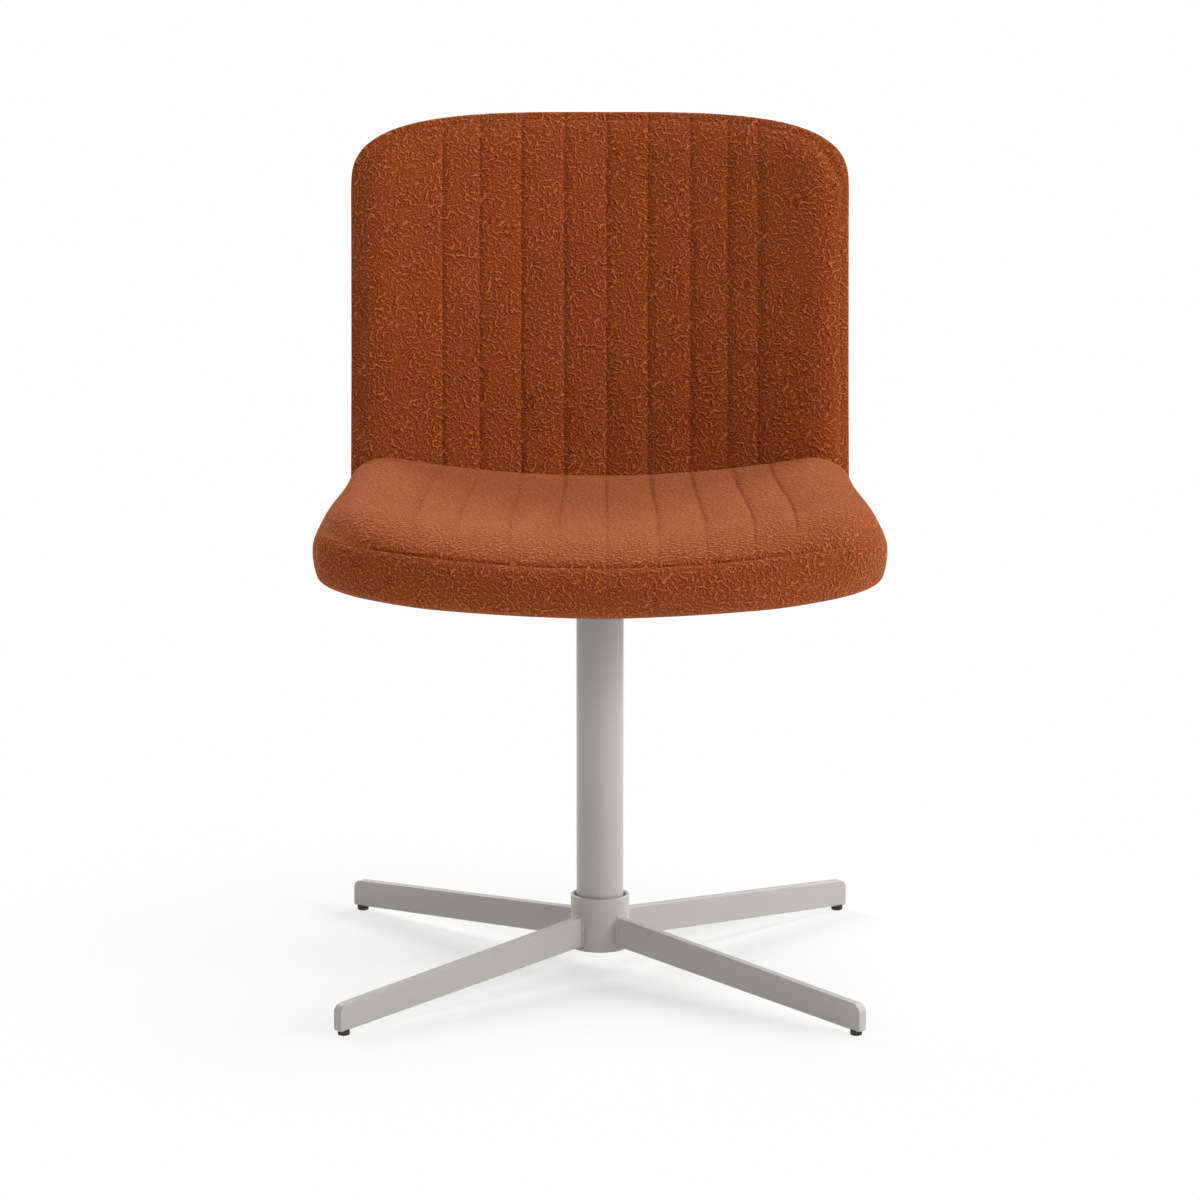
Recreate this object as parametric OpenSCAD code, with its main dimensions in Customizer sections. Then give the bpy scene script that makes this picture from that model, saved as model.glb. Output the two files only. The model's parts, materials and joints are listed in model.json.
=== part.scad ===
/* [Base] */
// Distance from the column's axis to the axis of each glide
leg_reach_l = 360; // [300:1:420]
// Thickness of the flat bar that a leg is cut from
leg_t = 10; // [9:0.5:14]
// Height of a leg where it meets the hub
leg_root_h = 30.5; // [26:0.5:36]
// Height of a leg over its glide
leg_tip_h = 27.8; // [22:0.2:32]
// Fall of a leg's underside from the hub to its glide
leg_fall = 25.8; // [20:0.2:32]
// Length of a leg past the axis of its glide
leg_overhang = 8.5; // [7:0.5:20]
// Radius of the upper corner at a leg's end
leg_nose_r = 10; // [4:0.5:14]
// Diameter of a glide
glide_d = 12; // [9:0.5:16]
// Height of a glide between the floor and its leg
glide_h = 5; // [3:0.5:8]
// Outer diameter of the hub
hub_d = 60.3; // [58:0.1:70]
// Wall of the hub
hub_wall = 3.6; // [2:0.1:4]
// Height of the hub
hub_h = 56; // [50:1:70]
// Height of the hub's lower edge above the floor
hub_lift = 25.4; // [22:0.2:28]

/* [Column] */
// Outer diameter of the column
column_d = 48.3; // [44:0.1:49]
// Wall of the column
column_wall = 2.6; // [1.5:0.1:4]
// Diameter of the fixed spindle inside the column
spindle_d = 30; // [24:0.5:34]
// Height of the spindle above the hub's floor
spindle_l = 280; // [200:5:300]
// Length of the bushes that run on the spindle
bush_l = 40; // [25:1:60]
// Width and depth of the steel plate on top of the column
plate_w = 140; // [120:2:144]
// Thickness of the steel plate
plate_t = 6; // [4:0.5:8]

/* [Seat] */
// Height of the middle of the seat above the floor
seat_h = 492; // [440:1:540]
// Width of the seat at its widest place
seat_w = 574; // [520:1:620]
// Width of the seat at its rear
seat_rear_w = 518; // [480:1:530]
// Depth of the seat pad
seat_d = 448; // [410:1:470]
// Thickness of the foam over the seat board
seat_foam = 55; // [40:1:70]
// Rise of the seat's sides over its middle at the front
seat_dish = 27; // [16:1:44]
// Rise of the seat's sides over its middle at the rear
seat_rear_dish = 49; // [20:1:60]
// Fall of the seat's front to its seam
front_fall = 17; // [10:1:26]
// Distance over which the seat's front falls
front_fall_l = 190; // [80:1:230]
// Depth of the bow at the seat's front
front_bow = 110; // [80:1:150]

/* [Back] */
// Width of the back
back_w = 519; // [470:1:550]
// Length of the back along its slope
back_l = 437; // [380:1:480]
// Lean of the back from upright
recline = 10; // [4:0.5:16]
// Radius that the back is bent to
back_bend_r = 650; // [500:10:1200]
// Thickness of the foam over the back board
back_foam = 20; // [16:0.5:30]
// Thickness of the rear cover
rear_cover_t = 20.5; // [14:0.5:24]
// Height of the arch that the top corners make
back_arch_h = 90; // [60:1:120]
// Height of the back's lower edge above the underside of the seat board
back_rise = 5; // [4:0.5:14]

/* [Boards and brackets] */
// Thickness of the moulded boards
board_t = 12; // [9:0.5:15]
// Thickness of the steel brackets
bracket_t = 6; // [4:0.5:7]
// Width of the steel brackets
bracket_w = 40; // [24:1:50]
// Distance of each bracket from the middle of the back
bracket_x = 125; // [122:1:135]

/* [Upholstery] */
// Width of a sewn groove between two channels
groove_w = 6; // [4:0.5:9]
// Depth of a sewn groove
groove_d = 3.5; // [1:0.5:5]
// Height of a channel's crown
channel_crown = 2.2; // [0.5:0.1:4]

/* [Hidden] */
$fn = 64;

// Clearances, and the overrun of every cut
run_gap = 0.05;
rest_gap = 0.3;
soft_gap = 0.5;
over = 1;

// Colours
paint = [0.72, 0.71, 0.67];
steel = [0.62, 0.62, 0.64];
black = [0.09, 0.09, 0.1];
nylon = [0.85, 0.84, 0.8];
ply = [0.76, 0.6, 0.42];
rust = [0.6, 0.29, 0.15];
dark_cloth = [0.12, 0.12, 0.12];

// Hub, with its floor and the cap below
hub_r = hub_d / 2;
hub_bore = hub_d - 2 * hub_wall;
hub_chamfer = 0.8;
hub_top = hub_lift + hub_h;
hub_cap_t = 2.4;
hub_cap_skirt_h = 3;
hub_cap_skirt_t = 1.5;
floor_t = 8;
floor_rise = 26;
floor_top = hub_lift + floor_rise;
floor_z = floor_top - floor_t;

// Ring between hub and column
ring_h = 8;
ring_sink = 3;

// Legs and glides, with the angle of each leg seen from above
leg_start = hub_r / 2;
leg_edge_r = 1.4;
leg_toe_r = 2.5;
FRONT_LEFT = 225;
FRONT_RIGHT = 315;
REAR_LEFT = 135;
REAR_RIGHT = 45;
glide_stud_d = 5;
glide_stud_l = 12;
glide_round = 1.2;

// Spindle and its bearings
stud_d = 16;
stud_end = 1.5;
nut_af = 24;
nut_h = 13;
spindle_chamfer = 1.5;
washer_t = 2;
washer_rim = 1.6;
flange_t = 3;
column_bore = column_d - 2 * column_wall;
spindle_top = floor_top + spindle_l;
column_z = floor_top + washer_t + flange_t;
cap_washer_t = 3;
cap_washer_rim = 1.5;
cap_screw_d = 10;
cap_screw_l = 26;
cap_head_d = 16;
cap_head_h = 10;
cap_socket_af = 8;
cap_socket_depth = 5;

// Steel plate under the seat
dust_t = 1.2;
seat_base = seat_h - seat_foam - board_t;
steel_top = seat_base - dust_t;
plate_z = steel_top - plate_t;
plate_corner_r = 12;
plate_ledge = 4;
plate_hole_d = column_bore - 2 * plate_ledge;
plate_margin = 15;
plate_pitch = plate_w - 2 * plate_margin;

// Screws and tee nuts
screw_d = 6;
screw_hole_d = 6.6;
screw_head_d = 11;
screw_head_h = 3.3;
screw_reach = 9;
sunk_head_d = 11.4;
sunk_head_h = 3.2;
socket_af = 4;
socket_depth = 2;
tee_flange_d = 18;
tee_flange_t = 1.5;
tee_barrel_d = 8;
tee_barrel_l = 8;
tee_sink = 0.2;

// Places of seat, back and brackets in the chair's own middle plane
seat_rear_y = 173;
back_y = 187;
back_lift = seat_base + back_rise;
bracket_front_y = 40;
bracket_up_l = 185;
bracket_bend_r = 8;
foot_screw_first = 20;
foot_screw_pitch = 50;
foot_screw_places = [foot_screw_first, foot_screw_first + foot_screw_pitch];
back_screw_first = 88;
back_screw_pitch = 66;
back_screw_places = [back_screw_first, back_screw_first + back_screw_pitch];
bracket_turn = asin(bracket_x / back_bend_r);
bracket_y = back_y + (steel_top - back_lift) * tan(recline)
    - pow(bracket_x, 2) / (2 * back_bend_r) / cos(recline) + rest_gap;
foot_l = (bracket_y - bracket_front_y) / cos(bracket_turn);

// Shares of the half width where the nine seams of the back and of the seat lie
back_seam_shares = [-0.653, -0.499, -0.326, -0.148, 0.029, 0.201, 0.378, 0.532, 0.659];
seat_seam_shares = [-0.69, -0.54, -0.372, -0.205, -0.023, 0.147, 0.321, 0.5, 0.65];
// Shares of the half width where the plain sides have their columns
plain_shares = [0.73, 0.83, 0.9, 0.95, 0.98, 1];
// Shares of the length where the rows of a pad's face lie
row_shares = [0, 0.04, 0.12, 0.28, 0.48, 0.66, 0.8, 0.9, 0.96, 1];
// Shares of the half width where the columns of the rear cover lie
cover_shares = [-1, -0.97, -0.9, -0.8, -0.7, -0.6, -0.5, -0.4, -0.3, -0.2, -0.1, 0,
    0.1, 0.2, 0.3, 0.4, 0.5, 0.6, 0.7, 0.8, 0.9, 0.97, 1];
// Shares of the bulge, of the height and of the turn under at each ring of a pad's side
side_shares = [[0.62, 0.16, 0], [1, 0.42, 0], [0.9, 0.7, 0.04], [0.3, 0.9, 0.25]];
// Steps across a bent board
board_steps = 28;

// Form of the seat pad
foot_margin = 15;
seat_flat = bracket_x + bracket_w / 2 + foot_margin;
seat_bend_r = 700;
seat_root_r = 27;
seat_power_share = 2;
seat_end_edge = 13;
seat_side_edge = 11;
seat_side_fall = 25;
seat_side_fall_l = 52;
seat_root_fall = 1.5;
seat_root_bulge = -5;
seat_under = 22;
seat_lip = 7;
seat_mouth = 26;

// Form of the back pad and of its rear cover
back_half = back_w / 2;
back_power_share = 3.2;
back_root_r = 36;
back_edge = 9;
back_fall = 14;
back_fall_l = 38;
back_under = 4;
back_mouth = 22;
cover_inset = 4;
cover_half = back_half - cover_inset;
cover_edge = 7;
cover_fall = 7;
cover_fall_l = 34;
cover_under = 3;
cover_mouth = 20;

// Names of the sizes in a pad's list
WIDE = 0;
ROOT = 1;
LONG = 2;
SHOULDER = 3;
POWER = 4;
ROOT_ROUND = 5;
BOW_ROUND = 6;
HIGH = 7;
DISH = 8;
FLAT = 9;
BEND_ROUND = 10;
END_EDGE = 11;
SIDE_EDGE = 12;
END_FALL = 13;
END_RUN = 14;
SIDE_FALL = 15;
SIDE_RUN = 16;
ROOT_FALL = 17;
UNDER = 18;
LIP = 19;
MOUTH = 20;
POCKET = 21;
ROOT_DISH = 22;
ROOT_BULGE = 23;
SEAMS = 24;

seat_sizes = [seat_w / 2, seat_rear_w / 2, seat_d, front_bow, seat_power_share, seat_root_r,
    back_bend_r, board_t + seat_foam, seat_dish, seat_flat, seat_bend_r,
    seat_end_edge, seat_side_edge, front_fall, front_fall_l,
    seat_side_fall, seat_side_fall_l, seat_root_fall,
    seat_under, seat_lip, seat_mouth, board_t + soft_gap, seat_rear_dish, seat_root_bulge,
    seat_seam_shares];
back_sizes = [back_half, back_half, back_l, back_arch_h, back_power_share, back_root_r,
    0, board_t + back_foam, pow(back_half, 2) / (2 * back_bend_r), 0, back_bend_r,
    back_edge, back_edge, back_fall, back_fall_l,
    back_fall, back_fall_l, back_fall,
    back_under, 0, back_mouth, board_t + soft_gap,
    pow(back_half, 2) / (2 * back_bend_r), back_edge, back_seam_shares];
cover_sizes = [cover_half, cover_half, back_l - 2 * cover_inset, back_arch_h, back_power_share,
    back_root_r, 0, rear_cover_t, -pow(cover_half, 2) / (2 * back_bend_r), 0, -back_bend_r,
    cover_edge, cover_edge, cover_fall, cover_fall_l,
    cover_fall, cover_fall_l, cover_fall,
    cover_under, 0, cover_mouth, bracket_t + 4 * soft_gap,
    -pow(cover_half, 2) / (2 * back_bend_r), cover_edge];

// Columns of a channelled pad from left to right, each with its share and its kind:
// minus one in a groove, one on a crown, zero elsewhere
function groove_share(s) = groove_w / 2 / s[WIDE];
function seam_columns(s, i) = let (m = s[SEAMS][i], g = groove_share(s))
    [[m - g, 0], [m, -1], [m + g, 0]];
function crown_column(s, i) = i < len(s[SEAMS]) - 1
    ? [[(s[SEAMS][i] + s[SEAMS][i + 1]) / 2, 1]] : [];
function channel_columns(s) = concat(
    [for (i = [len(plain_shares) - 1:-1:0]) [-plain_shares[i], 0]],
    [for (i = [0:len(s[SEAMS]) - 1]) each concat(seam_columns(s, i), crown_column(s, i))],
    [for (m = plain_shares) [m, 0]]);
plain_columns = [for (m = cover_shares) [m, 0]];

widening_power = 2.1;

// A pad's outline: a is the distance from its middle and b the distance from its root
function half_w(s, b) = s[ROOT] + (s[WIDE] - s[ROOT])
    * pow(sin(90 * min(1, max(0, b) / (s[LONG] - s[SHOULDER]))), widening_power);
function corner(s, u) = let (r = s[ROOT_ROUND] / s[ROOT], t = max(0, (abs(u) - 1 + r) / r))
    s[ROOT_ROUND] * (1 - sqrt(max(0, 1 - t * t)));
function bow(s, u) = s[BOW_ROUND] == 0 ? 0 : pow(u * s[ROOT], 2) / (2 * s[BOW_ROUND]);
function root_edge(s, u) = s[SIDE_EDGE] + bow(s, u) + corner(s, u);
function free_edge(s, u) = s[LONG] - s[END_EDGE]
    - s[SHOULDER] * (1 - pow(max(0, 1 - pow(abs(u), s[POWER])), 1 / s[POWER]));
function along(s, u, v) = root_edge(s, u) + (free_edge(s, u) - root_edge(s, u)) * v;
function plan(s, u, v) = let (b = along(s, u, v)) [u * (half_w(s, b) - s[SIDE_EDGE]), b];

// A pad's heights: of its bent underside, and of its face with the channels
function bend(s, a) = pow(max(0, abs(a) - s[FLAT]), 2) / (2 * s[BEND_ROUND]);
function near(x, from) = max(0, (x - from) / (1 - from));
function side_near(s, u) = near(abs(u), 1 - s[SIDE_RUN] / s[WIDE]);
function end_near(s, v) = near(v, 1 - s[END_RUN] / s[LONG]);
function root_near(s, v) = near(1 - v, 1 - s[SIDE_RUN] / s[LONG]);
function drop(t) = 1 - pow(max(0, 1 - t * t), 0.75);
function edge_share(s, u, v) = min(1, norm([side_near(s, u), end_near(s, v), root_near(s, v)]));
function fall(s, u, v) = let (
    free = (s[END_FALL] + (s[SIDE_FALL] - s[END_FALL]) * pow(u, 4))
        * drop(min(1, norm([side_near(s, u), end_near(s, v)]))),
    root = s[ROOT_FALL] * drop(root_near(s, v)))
    pow(pow(free, 3) + pow(root, 3), 1 / 3);
function channel(kind, t) = kind == 0 ? 0
    : (kind < 0 ? -groove_d : channel_crown) * (1 - 0.7 * t * t);
function face(s, col, v) = let (u = col[0], p = plan(s, u, v))
    s[HIGH] + (s[ROOT_DISH] + (s[DISH] - s[ROOT_DISH]) * v) * pow(p[0] / s[WIDE], 2)
    - fall(s, u, v)
    + channel(col[1], edge_share(s, u, v));

// The edge of the face as a closed loop of columns and rows, and rings around it
function loop_places(cols) = let (n = len(cols) - 1, m = len(row_shares) - 1) concat(
    [for (i = [0:n - 1]) [i, 0]], [for (j = [0:m - 1]) [n, j]],
    [for (i = [n:-1:1]) [i, m]], [for (j = [m:-1:1]) [0, j]]);
function loop_plan(s, cols) = [for (q = loop_places(cols))
    plan(s, cols[q[0]][0], row_shares[q[1]])];
function outward(pts, k) = let (n = len(pts), d = pts[(k + 1) % n] - pts[(k + n - 1) % n])
    [d[1], -d[0]] / norm(d);
function ring(s, cols, out) = let (pts = loop_plan(s, cols))
    [for (k = [0:len(pts) - 1]) pts[k] + out * outward(pts, k)];
function bulge(s, u, v) = v < 0.5
    ? s[ROOT_BULGE] + (s[SIDE_EDGE] - s[ROOT_BULGE]) * (v > 0 ? 1 : pow(u, 8))
    : s[SIDE_EDGE] + (s[END_EDGE] - s[SIDE_EDGE]) * (1 - pow(u, 4));
function lip(s, a, b) = s[LIP] * (1 - pow(min(1, abs(a) / s[ROOT] * 1.2), 1.2))
    * min(1, max(0, (b / s[LONG] - 0.15) / 0.25));

// A closed pad over its bent board, with a pocket below that holds the board
module pad(s, cols) {
    places = loop_places(cols);
    edge = loop_plan(s, cols);
    n = len(cols) - 1;
    m = len(row_shares) - 1;
    count = len(edge);
    grid = [for (v = row_shares) for (col = cols) let (p = plan(s, col[0], v))
        [p[0], p[1], face(s, col, v)]];
    sides = [for (w = side_shares) for (k = [0:count - 1]) let (
        col = cols[places[k][0]],
        v = row_shares[places[k][1]],
        top = face(s, col, v),
        p = edge[k] + (w[0] * bulge(s, col[0], v) - w[2] * s[UNDER]) * outward(edge, k))
        [p[0], p[1], top + (bend(s, p[0]) - lip(s, p[0], p[1]) - top) * w[1]]];
    under = [for (p = ring(s, cols, -s[UNDER]))
        [p[0], p[1], bend(s, p[0]) - lip(s, p[0], p[1])]];
    mouth = [for (p = ring(s, cols, -s[MOUTH])) [p[0], p[1], bend(s, p[0])]];
    roof = [for (p = mouth) [p[0], p[1], p[2] + s[POCKET]]];
    first = (n + 1) * (m + 1);
    bands = len(side_shares) + 3;
    last = first + (bands - 1) * count;
    rim = [for (q = places) q[1] * (n + 1) + q[0]];
    function upper(w, k) = w == 0 ? rim[k] : first + (w - 1) * count + k;
    top_faces = [for (j = [0:m - 1]) for (i = [0:n - 1]) let (
        a = j * (n + 1) + i, b = a + 1, d = a + n + 1, c = d + 1) each [[a, c, b], [a, d, c]]];
    band_faces = [for (w = [0:bands - 1]) for (k = [0:count - 1]) let (
        e = (k + 1) % count, a = upper(w, k), b = upper(w, e),
        c = first + w * count + e, d = first + w * count + k) each [[d, b, c], [d, a, b]]];
    strips = [for (i = [1:n - 2]) let (a = last + i, d = last + 2 * n + m - i)
        each [[a, a + 1, d - 1], [a, d - 1, d]]];
    left_fan = [for (k = [2 * n + m - 1:count - 1]) [last + 1, last + k, last + (k + 1) % count]];
    right_fan = [for (k = [n:n + m]) [last + n - 1, last + k, last + k + 1]];
    polyhedron(concat(grid, sides, under, mouth, roof),
        concat(top_faces, band_faces, strips, left_fan, right_fan), 10);
}

// A bent sheet that lies inside a pad's mouth, between two heights over the bend
module sheet(s, inset, low, high) {
    reach = bend(s, s[WIDE]);
    across = [for (i = [0:board_steps]) s[WIDE] * (2 * i / board_steps - 1)];
    intersection() {
        translate([0, 0, min(0, reach) + low - over])
            linear_extrude(height = abs(reach) + high - low + 2 * over)
                polygon(ring(s, channel_columns(s), -inset));
        translate([0, s[LONG], 0])
            rotate([90, 0, 0])
                linear_extrude(height = s[LONG])
                    polygon(concat([for (a = across) [a, bend(s, a) + low]],
                        [for (i = [board_steps:-1:0]) [across[i], bend(s, across[i]) + high]]));
    }
}

module on_seat() {
    translate([0, seat_rear_y, seat_base]) rotate([0, 0, 180]) children();
}

module on_back() {
    translate([0, back_y, back_lift]) rotate([90 - recline, 0, 0]) children();
}

// Distance along x that a leg's lines are taken at, from the hub's wall to the glide
function leg_share(q) = (leg_reach_l - q) / (leg_reach_l - hub_r);
function under_z(q) = glide_h + leg_fall * leg_share(q);
function over_z(q) = under_z(q) + leg_tip_h + (leg_root_h - leg_tip_h) * leg_share(q);
function arc(x, y, r, from, to, steps) = [for (i = [0:steps])
    let (a = from + (to - from) * i / steps) [x + r * cos(a), y + r * sin(a)]];

// A bar along x with its two upper edges rounded, leaning down by an angle
module round_bar(z, lean, length, depth) {
    half = leg_t / 2;
    translate([0, 0, z])
        rotate([0, 90 + lean, 0])
            linear_extrude(height = length)
                polygon(concat(arc(leg_edge_r, half - leg_edge_r, leg_edge_r, 90, 180, 5),
                    arc(leg_edge_r, leg_edge_r - half, leg_edge_r, 180, 270, 5),
                    [[depth, -half], [depth, half]]));
}

module leg(angle) {
    end = leg_reach_l + leg_overhang;
    nose = end - leg_nose_r;
    toe = end - leg_toe_r;
    tall = hub_h + leg_fall;
    under_lean = atan(leg_fall / (leg_reach_l - hub_r));
    over_lean = atan((leg_fall + leg_root_h - leg_tip_h) / (leg_reach_l - hub_r));
    color(paint) rotate([0, 0, angle])
        difference() {
            intersection() {
                translate([0, leg_t, 0]) rotate([90, 0, 0]) linear_extrude(height = 2 * leg_t)
                    polygon(concat([[leg_start, over_z(leg_start)], [leg_start, under_z(leg_start)]],
                        arc(toe, under_z(toe) + leg_toe_r, leg_toe_r, 270, 360, 4),
                        arc(nose, over_z(nose) - leg_nose_r, leg_nose_r, 0, 90, 8)));
                round_bar(over_z(0), over_lean, end * 2, tall);
                translate([0, 0, 2 * under_z(0)]) mirror([0, 0, 1])
                    round_bar(under_z(0), -under_lean, end * 2, tall);
            }
            cylinder(r = hub_r, h = 2 * hub_top);
            translate([leg_reach_l, 0, 0]) cylinder(d = glide_d + 2 * rest_gap, h = glide_h);
            translate([leg_reach_l, 0, 0])
                cylinder(d = glide_stud_d, h = glide_h + glide_stud_l + rest_gap);
        }
}

module glide(angle) {
    r = glide_d / 2;
    color(black) rotate([0, 0, angle]) translate([leg_reach_l, 0, 0])
        rotate_extrude()
            polygon(concat([[0, 0]], arc(r - glide_round, glide_round, glide_round, 270, 360, 4),
                [[r, glide_h], [glide_stud_d / 2, glide_h],
                [glide_stud_d / 2, glide_h + glide_stud_l], [0, glide_h + glide_stud_l]]));
}

module hub_tube() {
    inner = hub_bore / 2;
    color(paint) rotate_extrude($fn = 96)
        polygon([[inner, hub_lift], [hub_r - hub_chamfer, hub_lift],
            [hub_r, hub_lift + hub_chamfer], [hub_r, hub_top - hub_chamfer],
            [hub_r - hub_chamfer, hub_top], [inner + hub_chamfer / 2, hub_top],
            [inner, hub_top - hub_chamfer / 2]]);
}

module hub_floor() {
    color(steel) translate([0, 0, floor_z]) difference() {
        cylinder(d = hub_bore, h = floor_t);
        translate([0, 0, -over]) cylinder(d = stud_d, h = floor_t + 2 * over);
    }
}

module hub_cap() {
    color(black) translate([0, 0, hub_lift]) difference() {
        cylinder(d = hub_bore, h = hub_cap_t + hub_cap_skirt_h);
        translate([0, 0, hub_cap_t])
            cylinder(d = hub_bore - 2 * hub_cap_skirt_t, h = hub_cap_skirt_h + over);
    }
}

module dust_ring() {
    color(black) translate([0, 0, hub_top - ring_sink - ring_h]) difference() {
        cylinder(d = hub_bore, h = ring_h);
        translate([0, 0, -over]) cylinder(d = column_d + 2 * rest_gap, h = ring_h + 2 * over);
    }
}

module spindle() {
    r = spindle_d / 2;
    foot = floor_z - nut_h - stud_end;
    color(steel) difference() {
        rotate_extrude()
            polygon([[0, foot], [stud_d / 2, foot], [stud_d / 2, floor_top], [r, floor_top],
                [r, spindle_top - spindle_chamfer], [r - spindle_chamfer, spindle_top],
                [0, spindle_top]]);
        translate([0, 0, spindle_top + cap_washer_t - cap_screw_l - over])
            cylinder(d = cap_screw_d, h = cap_screw_l);
    }
}

module spindle_nut() {
    color(steel) translate([0, 0, floor_z - nut_h]) difference() {
        cylinder(r = nut_af / 2 / cos(30), h = nut_h, $fn = 6);
        translate([0, 0, -over]) cylinder(d = stud_d, h = nut_h + 2 * over);
    }
}

module thrust_washer() {
    color(nylon) translate([0, 0, floor_top]) difference() {
        cylinder(d = hub_bore - 2 * washer_rim, h = washer_t);
        translate([0, 0, -over]) cylinder(d = spindle_d + 2 * rest_gap, h = washer_t + 2 * over);
    }
}

module lower_bush() {
    inner = spindle_d / 2 + run_gap;
    color(nylon) translate([0, 0, column_z - flange_t]) rotate_extrude()
        polygon([[inner, 0], [column_d / 2, 0], [column_d / 2, flange_t],
            [column_bore / 2, flange_t], [column_bore / 2, flange_t + bush_l],
            [inner, flange_t + bush_l]]);
}

module upper_bush() {
    color(nylon) translate([0, 0, spindle_top - rest_gap - bush_l]) difference() {
        cylinder(d = column_bore, h = bush_l);
        translate([0, 0, -over])
            cylinder(d = spindle_d + 2 * run_gap, h = bush_l + 2 * over);
    }
}

module retaining_washer() {
    color(steel) translate([0, 0, spindle_top]) difference() {
        cylinder(d = column_bore - 2 * cap_washer_rim, h = cap_washer_t);
        translate([0, 0, -over]) cylinder(d = cap_screw_d, h = cap_washer_t + 2 * over);
    }
}

module retaining_screw() {
    head = spindle_top + cap_washer_t;
    color(steel) difference() {
        union() {
            translate([0, 0, head - cap_screw_l]) cylinder(d = cap_screw_d, h = cap_screw_l);
            translate([0, 0, head]) cylinder(d = cap_head_d, h = cap_head_h);
        }
        translate([0, 0, head + cap_head_h - cap_socket_depth])
            cylinder(r = cap_socket_af / 2 / cos(30), h = cap_socket_depth + over, $fn = 6);
    }
}

module column_tube() {
    color(paint) translate([0, 0, column_z]) difference() {
        cylinder(d = column_d, h = plate_z - column_z, $fn = 96);
        translate([0, 0, -over])
            cylinder(d = column_bore, h = plate_z - column_z + 2 * over, $fn = 96);
    }
}

module rounded_plate(w, h, t, r) {
    linear_extrude(height = t) union() {
        square([w - 2 * r, h], center = true);
        square([w, h - 2 * r], center = true);
        for (x = [-1, 1]) for (y = [-1, 1])
            translate([x * (w / 2 - r), y * (h / 2 - r)]) circle(r = r);
    }
}

// Places of the fasteners, with z running into the board from its outer face
module at_plate_screws() {
    for (x = [-1, 1]) for (y = [-1, 1])
        translate([x * plate_pitch / 2, y * plate_pitch / 2, seat_base]) children();
}

module in_bracket(side) {
    mirror([side < 0 ? 1 : 0, 0, 0])
        translate([bracket_x, bracket_y, steel_top]) rotate([0, 0, -bracket_turn]) children();
}

module at_foot_screws(side) {
    for (place = foot_screw_places)
        in_bracket(side) translate([0, place - foot_l, dust_t]) children();
}

module at_back_screws(side) {
    for (place = back_screw_places)
        in_bracket(side) rotate([-recline, 0, 0]) translate([0, -rest_gap, place])
            rotate([90, 0, 0]) children();
}

module seat_plate() {
    color(paint) difference() {
        translate([0, 0, plate_z]) rounded_plate(plate_w, plate_w, plate_t, plate_corner_r);
        translate([0, 0, plate_z - over]) cylinder(d = plate_hole_d, h = plate_t + 2 * over);
        at_plate_screws() translate([0, 0, -dust_t - plate_t - over])
            cylinder(d = screw_hole_d, h = plate_t + 2 * over);
    }
}

// A button screw whose head lies under a plate that is as thick as its grip
module button_screw(grip) {
    translate([0, 0, -grip]) difference() {
        union() {
            cylinder(d = screw_d, h = grip + screw_reach);
            translate([0, 0, -screw_head_h]) cylinder(d = screw_head_d, h = screw_head_h);
        }
        translate([0, 0, -screw_head_h - over])
            cylinder(r = socket_af / 2 / cos(30), h = socket_depth + over, $fn = 6);
    }
}

// A sunk screw whose head ends flush with the bracket's outer face
module sunk_screw(grip) {
    translate([0, 0, -grip]) difference() {
        union() {
            cylinder(d = screw_d, h = grip + screw_reach);
            cylinder(d1 = sunk_head_d, d2 = screw_d, h = sunk_head_h);
        }
        translate([0, 0, -over])
            cylinder(r = socket_af / 2 / cos(30), h = socket_depth + over, $fn = 6);
    }
}

module tee_nut() {
    top = board_t - tee_sink;
    difference() {
        union() {
            translate([0, 0, top - tee_flange_t]) cylinder(d = tee_flange_d, h = tee_flange_t);
            translate([0, 0, top - tee_flange_t - tee_barrel_l])
                cylinder(d = tee_barrel_d, h = tee_barrel_l + tee_flange_t);
        }
        cylinder(d = screw_d, h = board_t + over);
    }
}

// The hole that a tee nut and its screw need in a board
module tee_hole() {
    translate([0, 0, -over - board_t]) cylinder(d = tee_barrel_d, h = 2 * board_t + 2 * over);
    translate([0, 0, board_t - tee_sink - tee_flange_t])
        cylinder(d = tee_flange_d, h = tee_flange_t + board_t);
}

module seat_plate_screws() {
    color(steel) at_plate_screws() button_screw(dust_t + plate_t);
}

module bracket_seat_screws() {
    color(steel) for (side = [-1, 1]) at_foot_screws(side) button_screw(dust_t + bracket_t);
}

module bracket_back_screws() {
    color(steel) for (side = [-1, 1]) at_back_screws(side) sunk_screw(rest_gap + bracket_t);
}

module seat_tee_nuts() {
    color(steel) {
        at_plate_screws() tee_nut();
        for (side = [-1, 1]) at_foot_screws(side) tee_nut();
    }
}

module back_tee_nuts() {
    color(steel) for (side = [-1, 1]) at_back_screws(side) tee_nut();
}

module seat_board() {
    color(ply) difference() {
        on_seat() sheet(seat_sizes, seat_mouth + soft_gap, 0, board_t);
        at_plate_screws() tee_hole();
        for (side = [-1, 1]) at_foot_screws(side) tee_hole();
    }
}

module seat_dust_cover() {
    color(dark_cloth) difference() {
        on_seat() sheet(seat_sizes, seat_mouth + 2 * soft_gap, -dust_t, 0);
        at_plate_screws() translate([0, 0, -dust_t - over])
            cylinder(d = screw_hole_d, h = dust_t + 2 * over);
        for (side = [-1, 1]) at_foot_screws(side) translate([0, 0, -dust_t - over])
            cylinder(d = screw_hole_d, h = dust_t + 2 * over);
    }
}

module back_board() {
    color(ply) difference() {
        on_back() sheet(back_sizes, back_mouth + soft_gap, 0, board_t);
        for (side = [-1, 1]) at_back_screws(side) tee_hole();
    }
}

module seat_cushion() {
    color(rust) on_seat() pad(seat_sizes, channel_columns(seat_sizes));
}

module back_cushion() {
    color(rust) on_back() pad(back_sizes, channel_columns(back_sizes));
}

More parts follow.
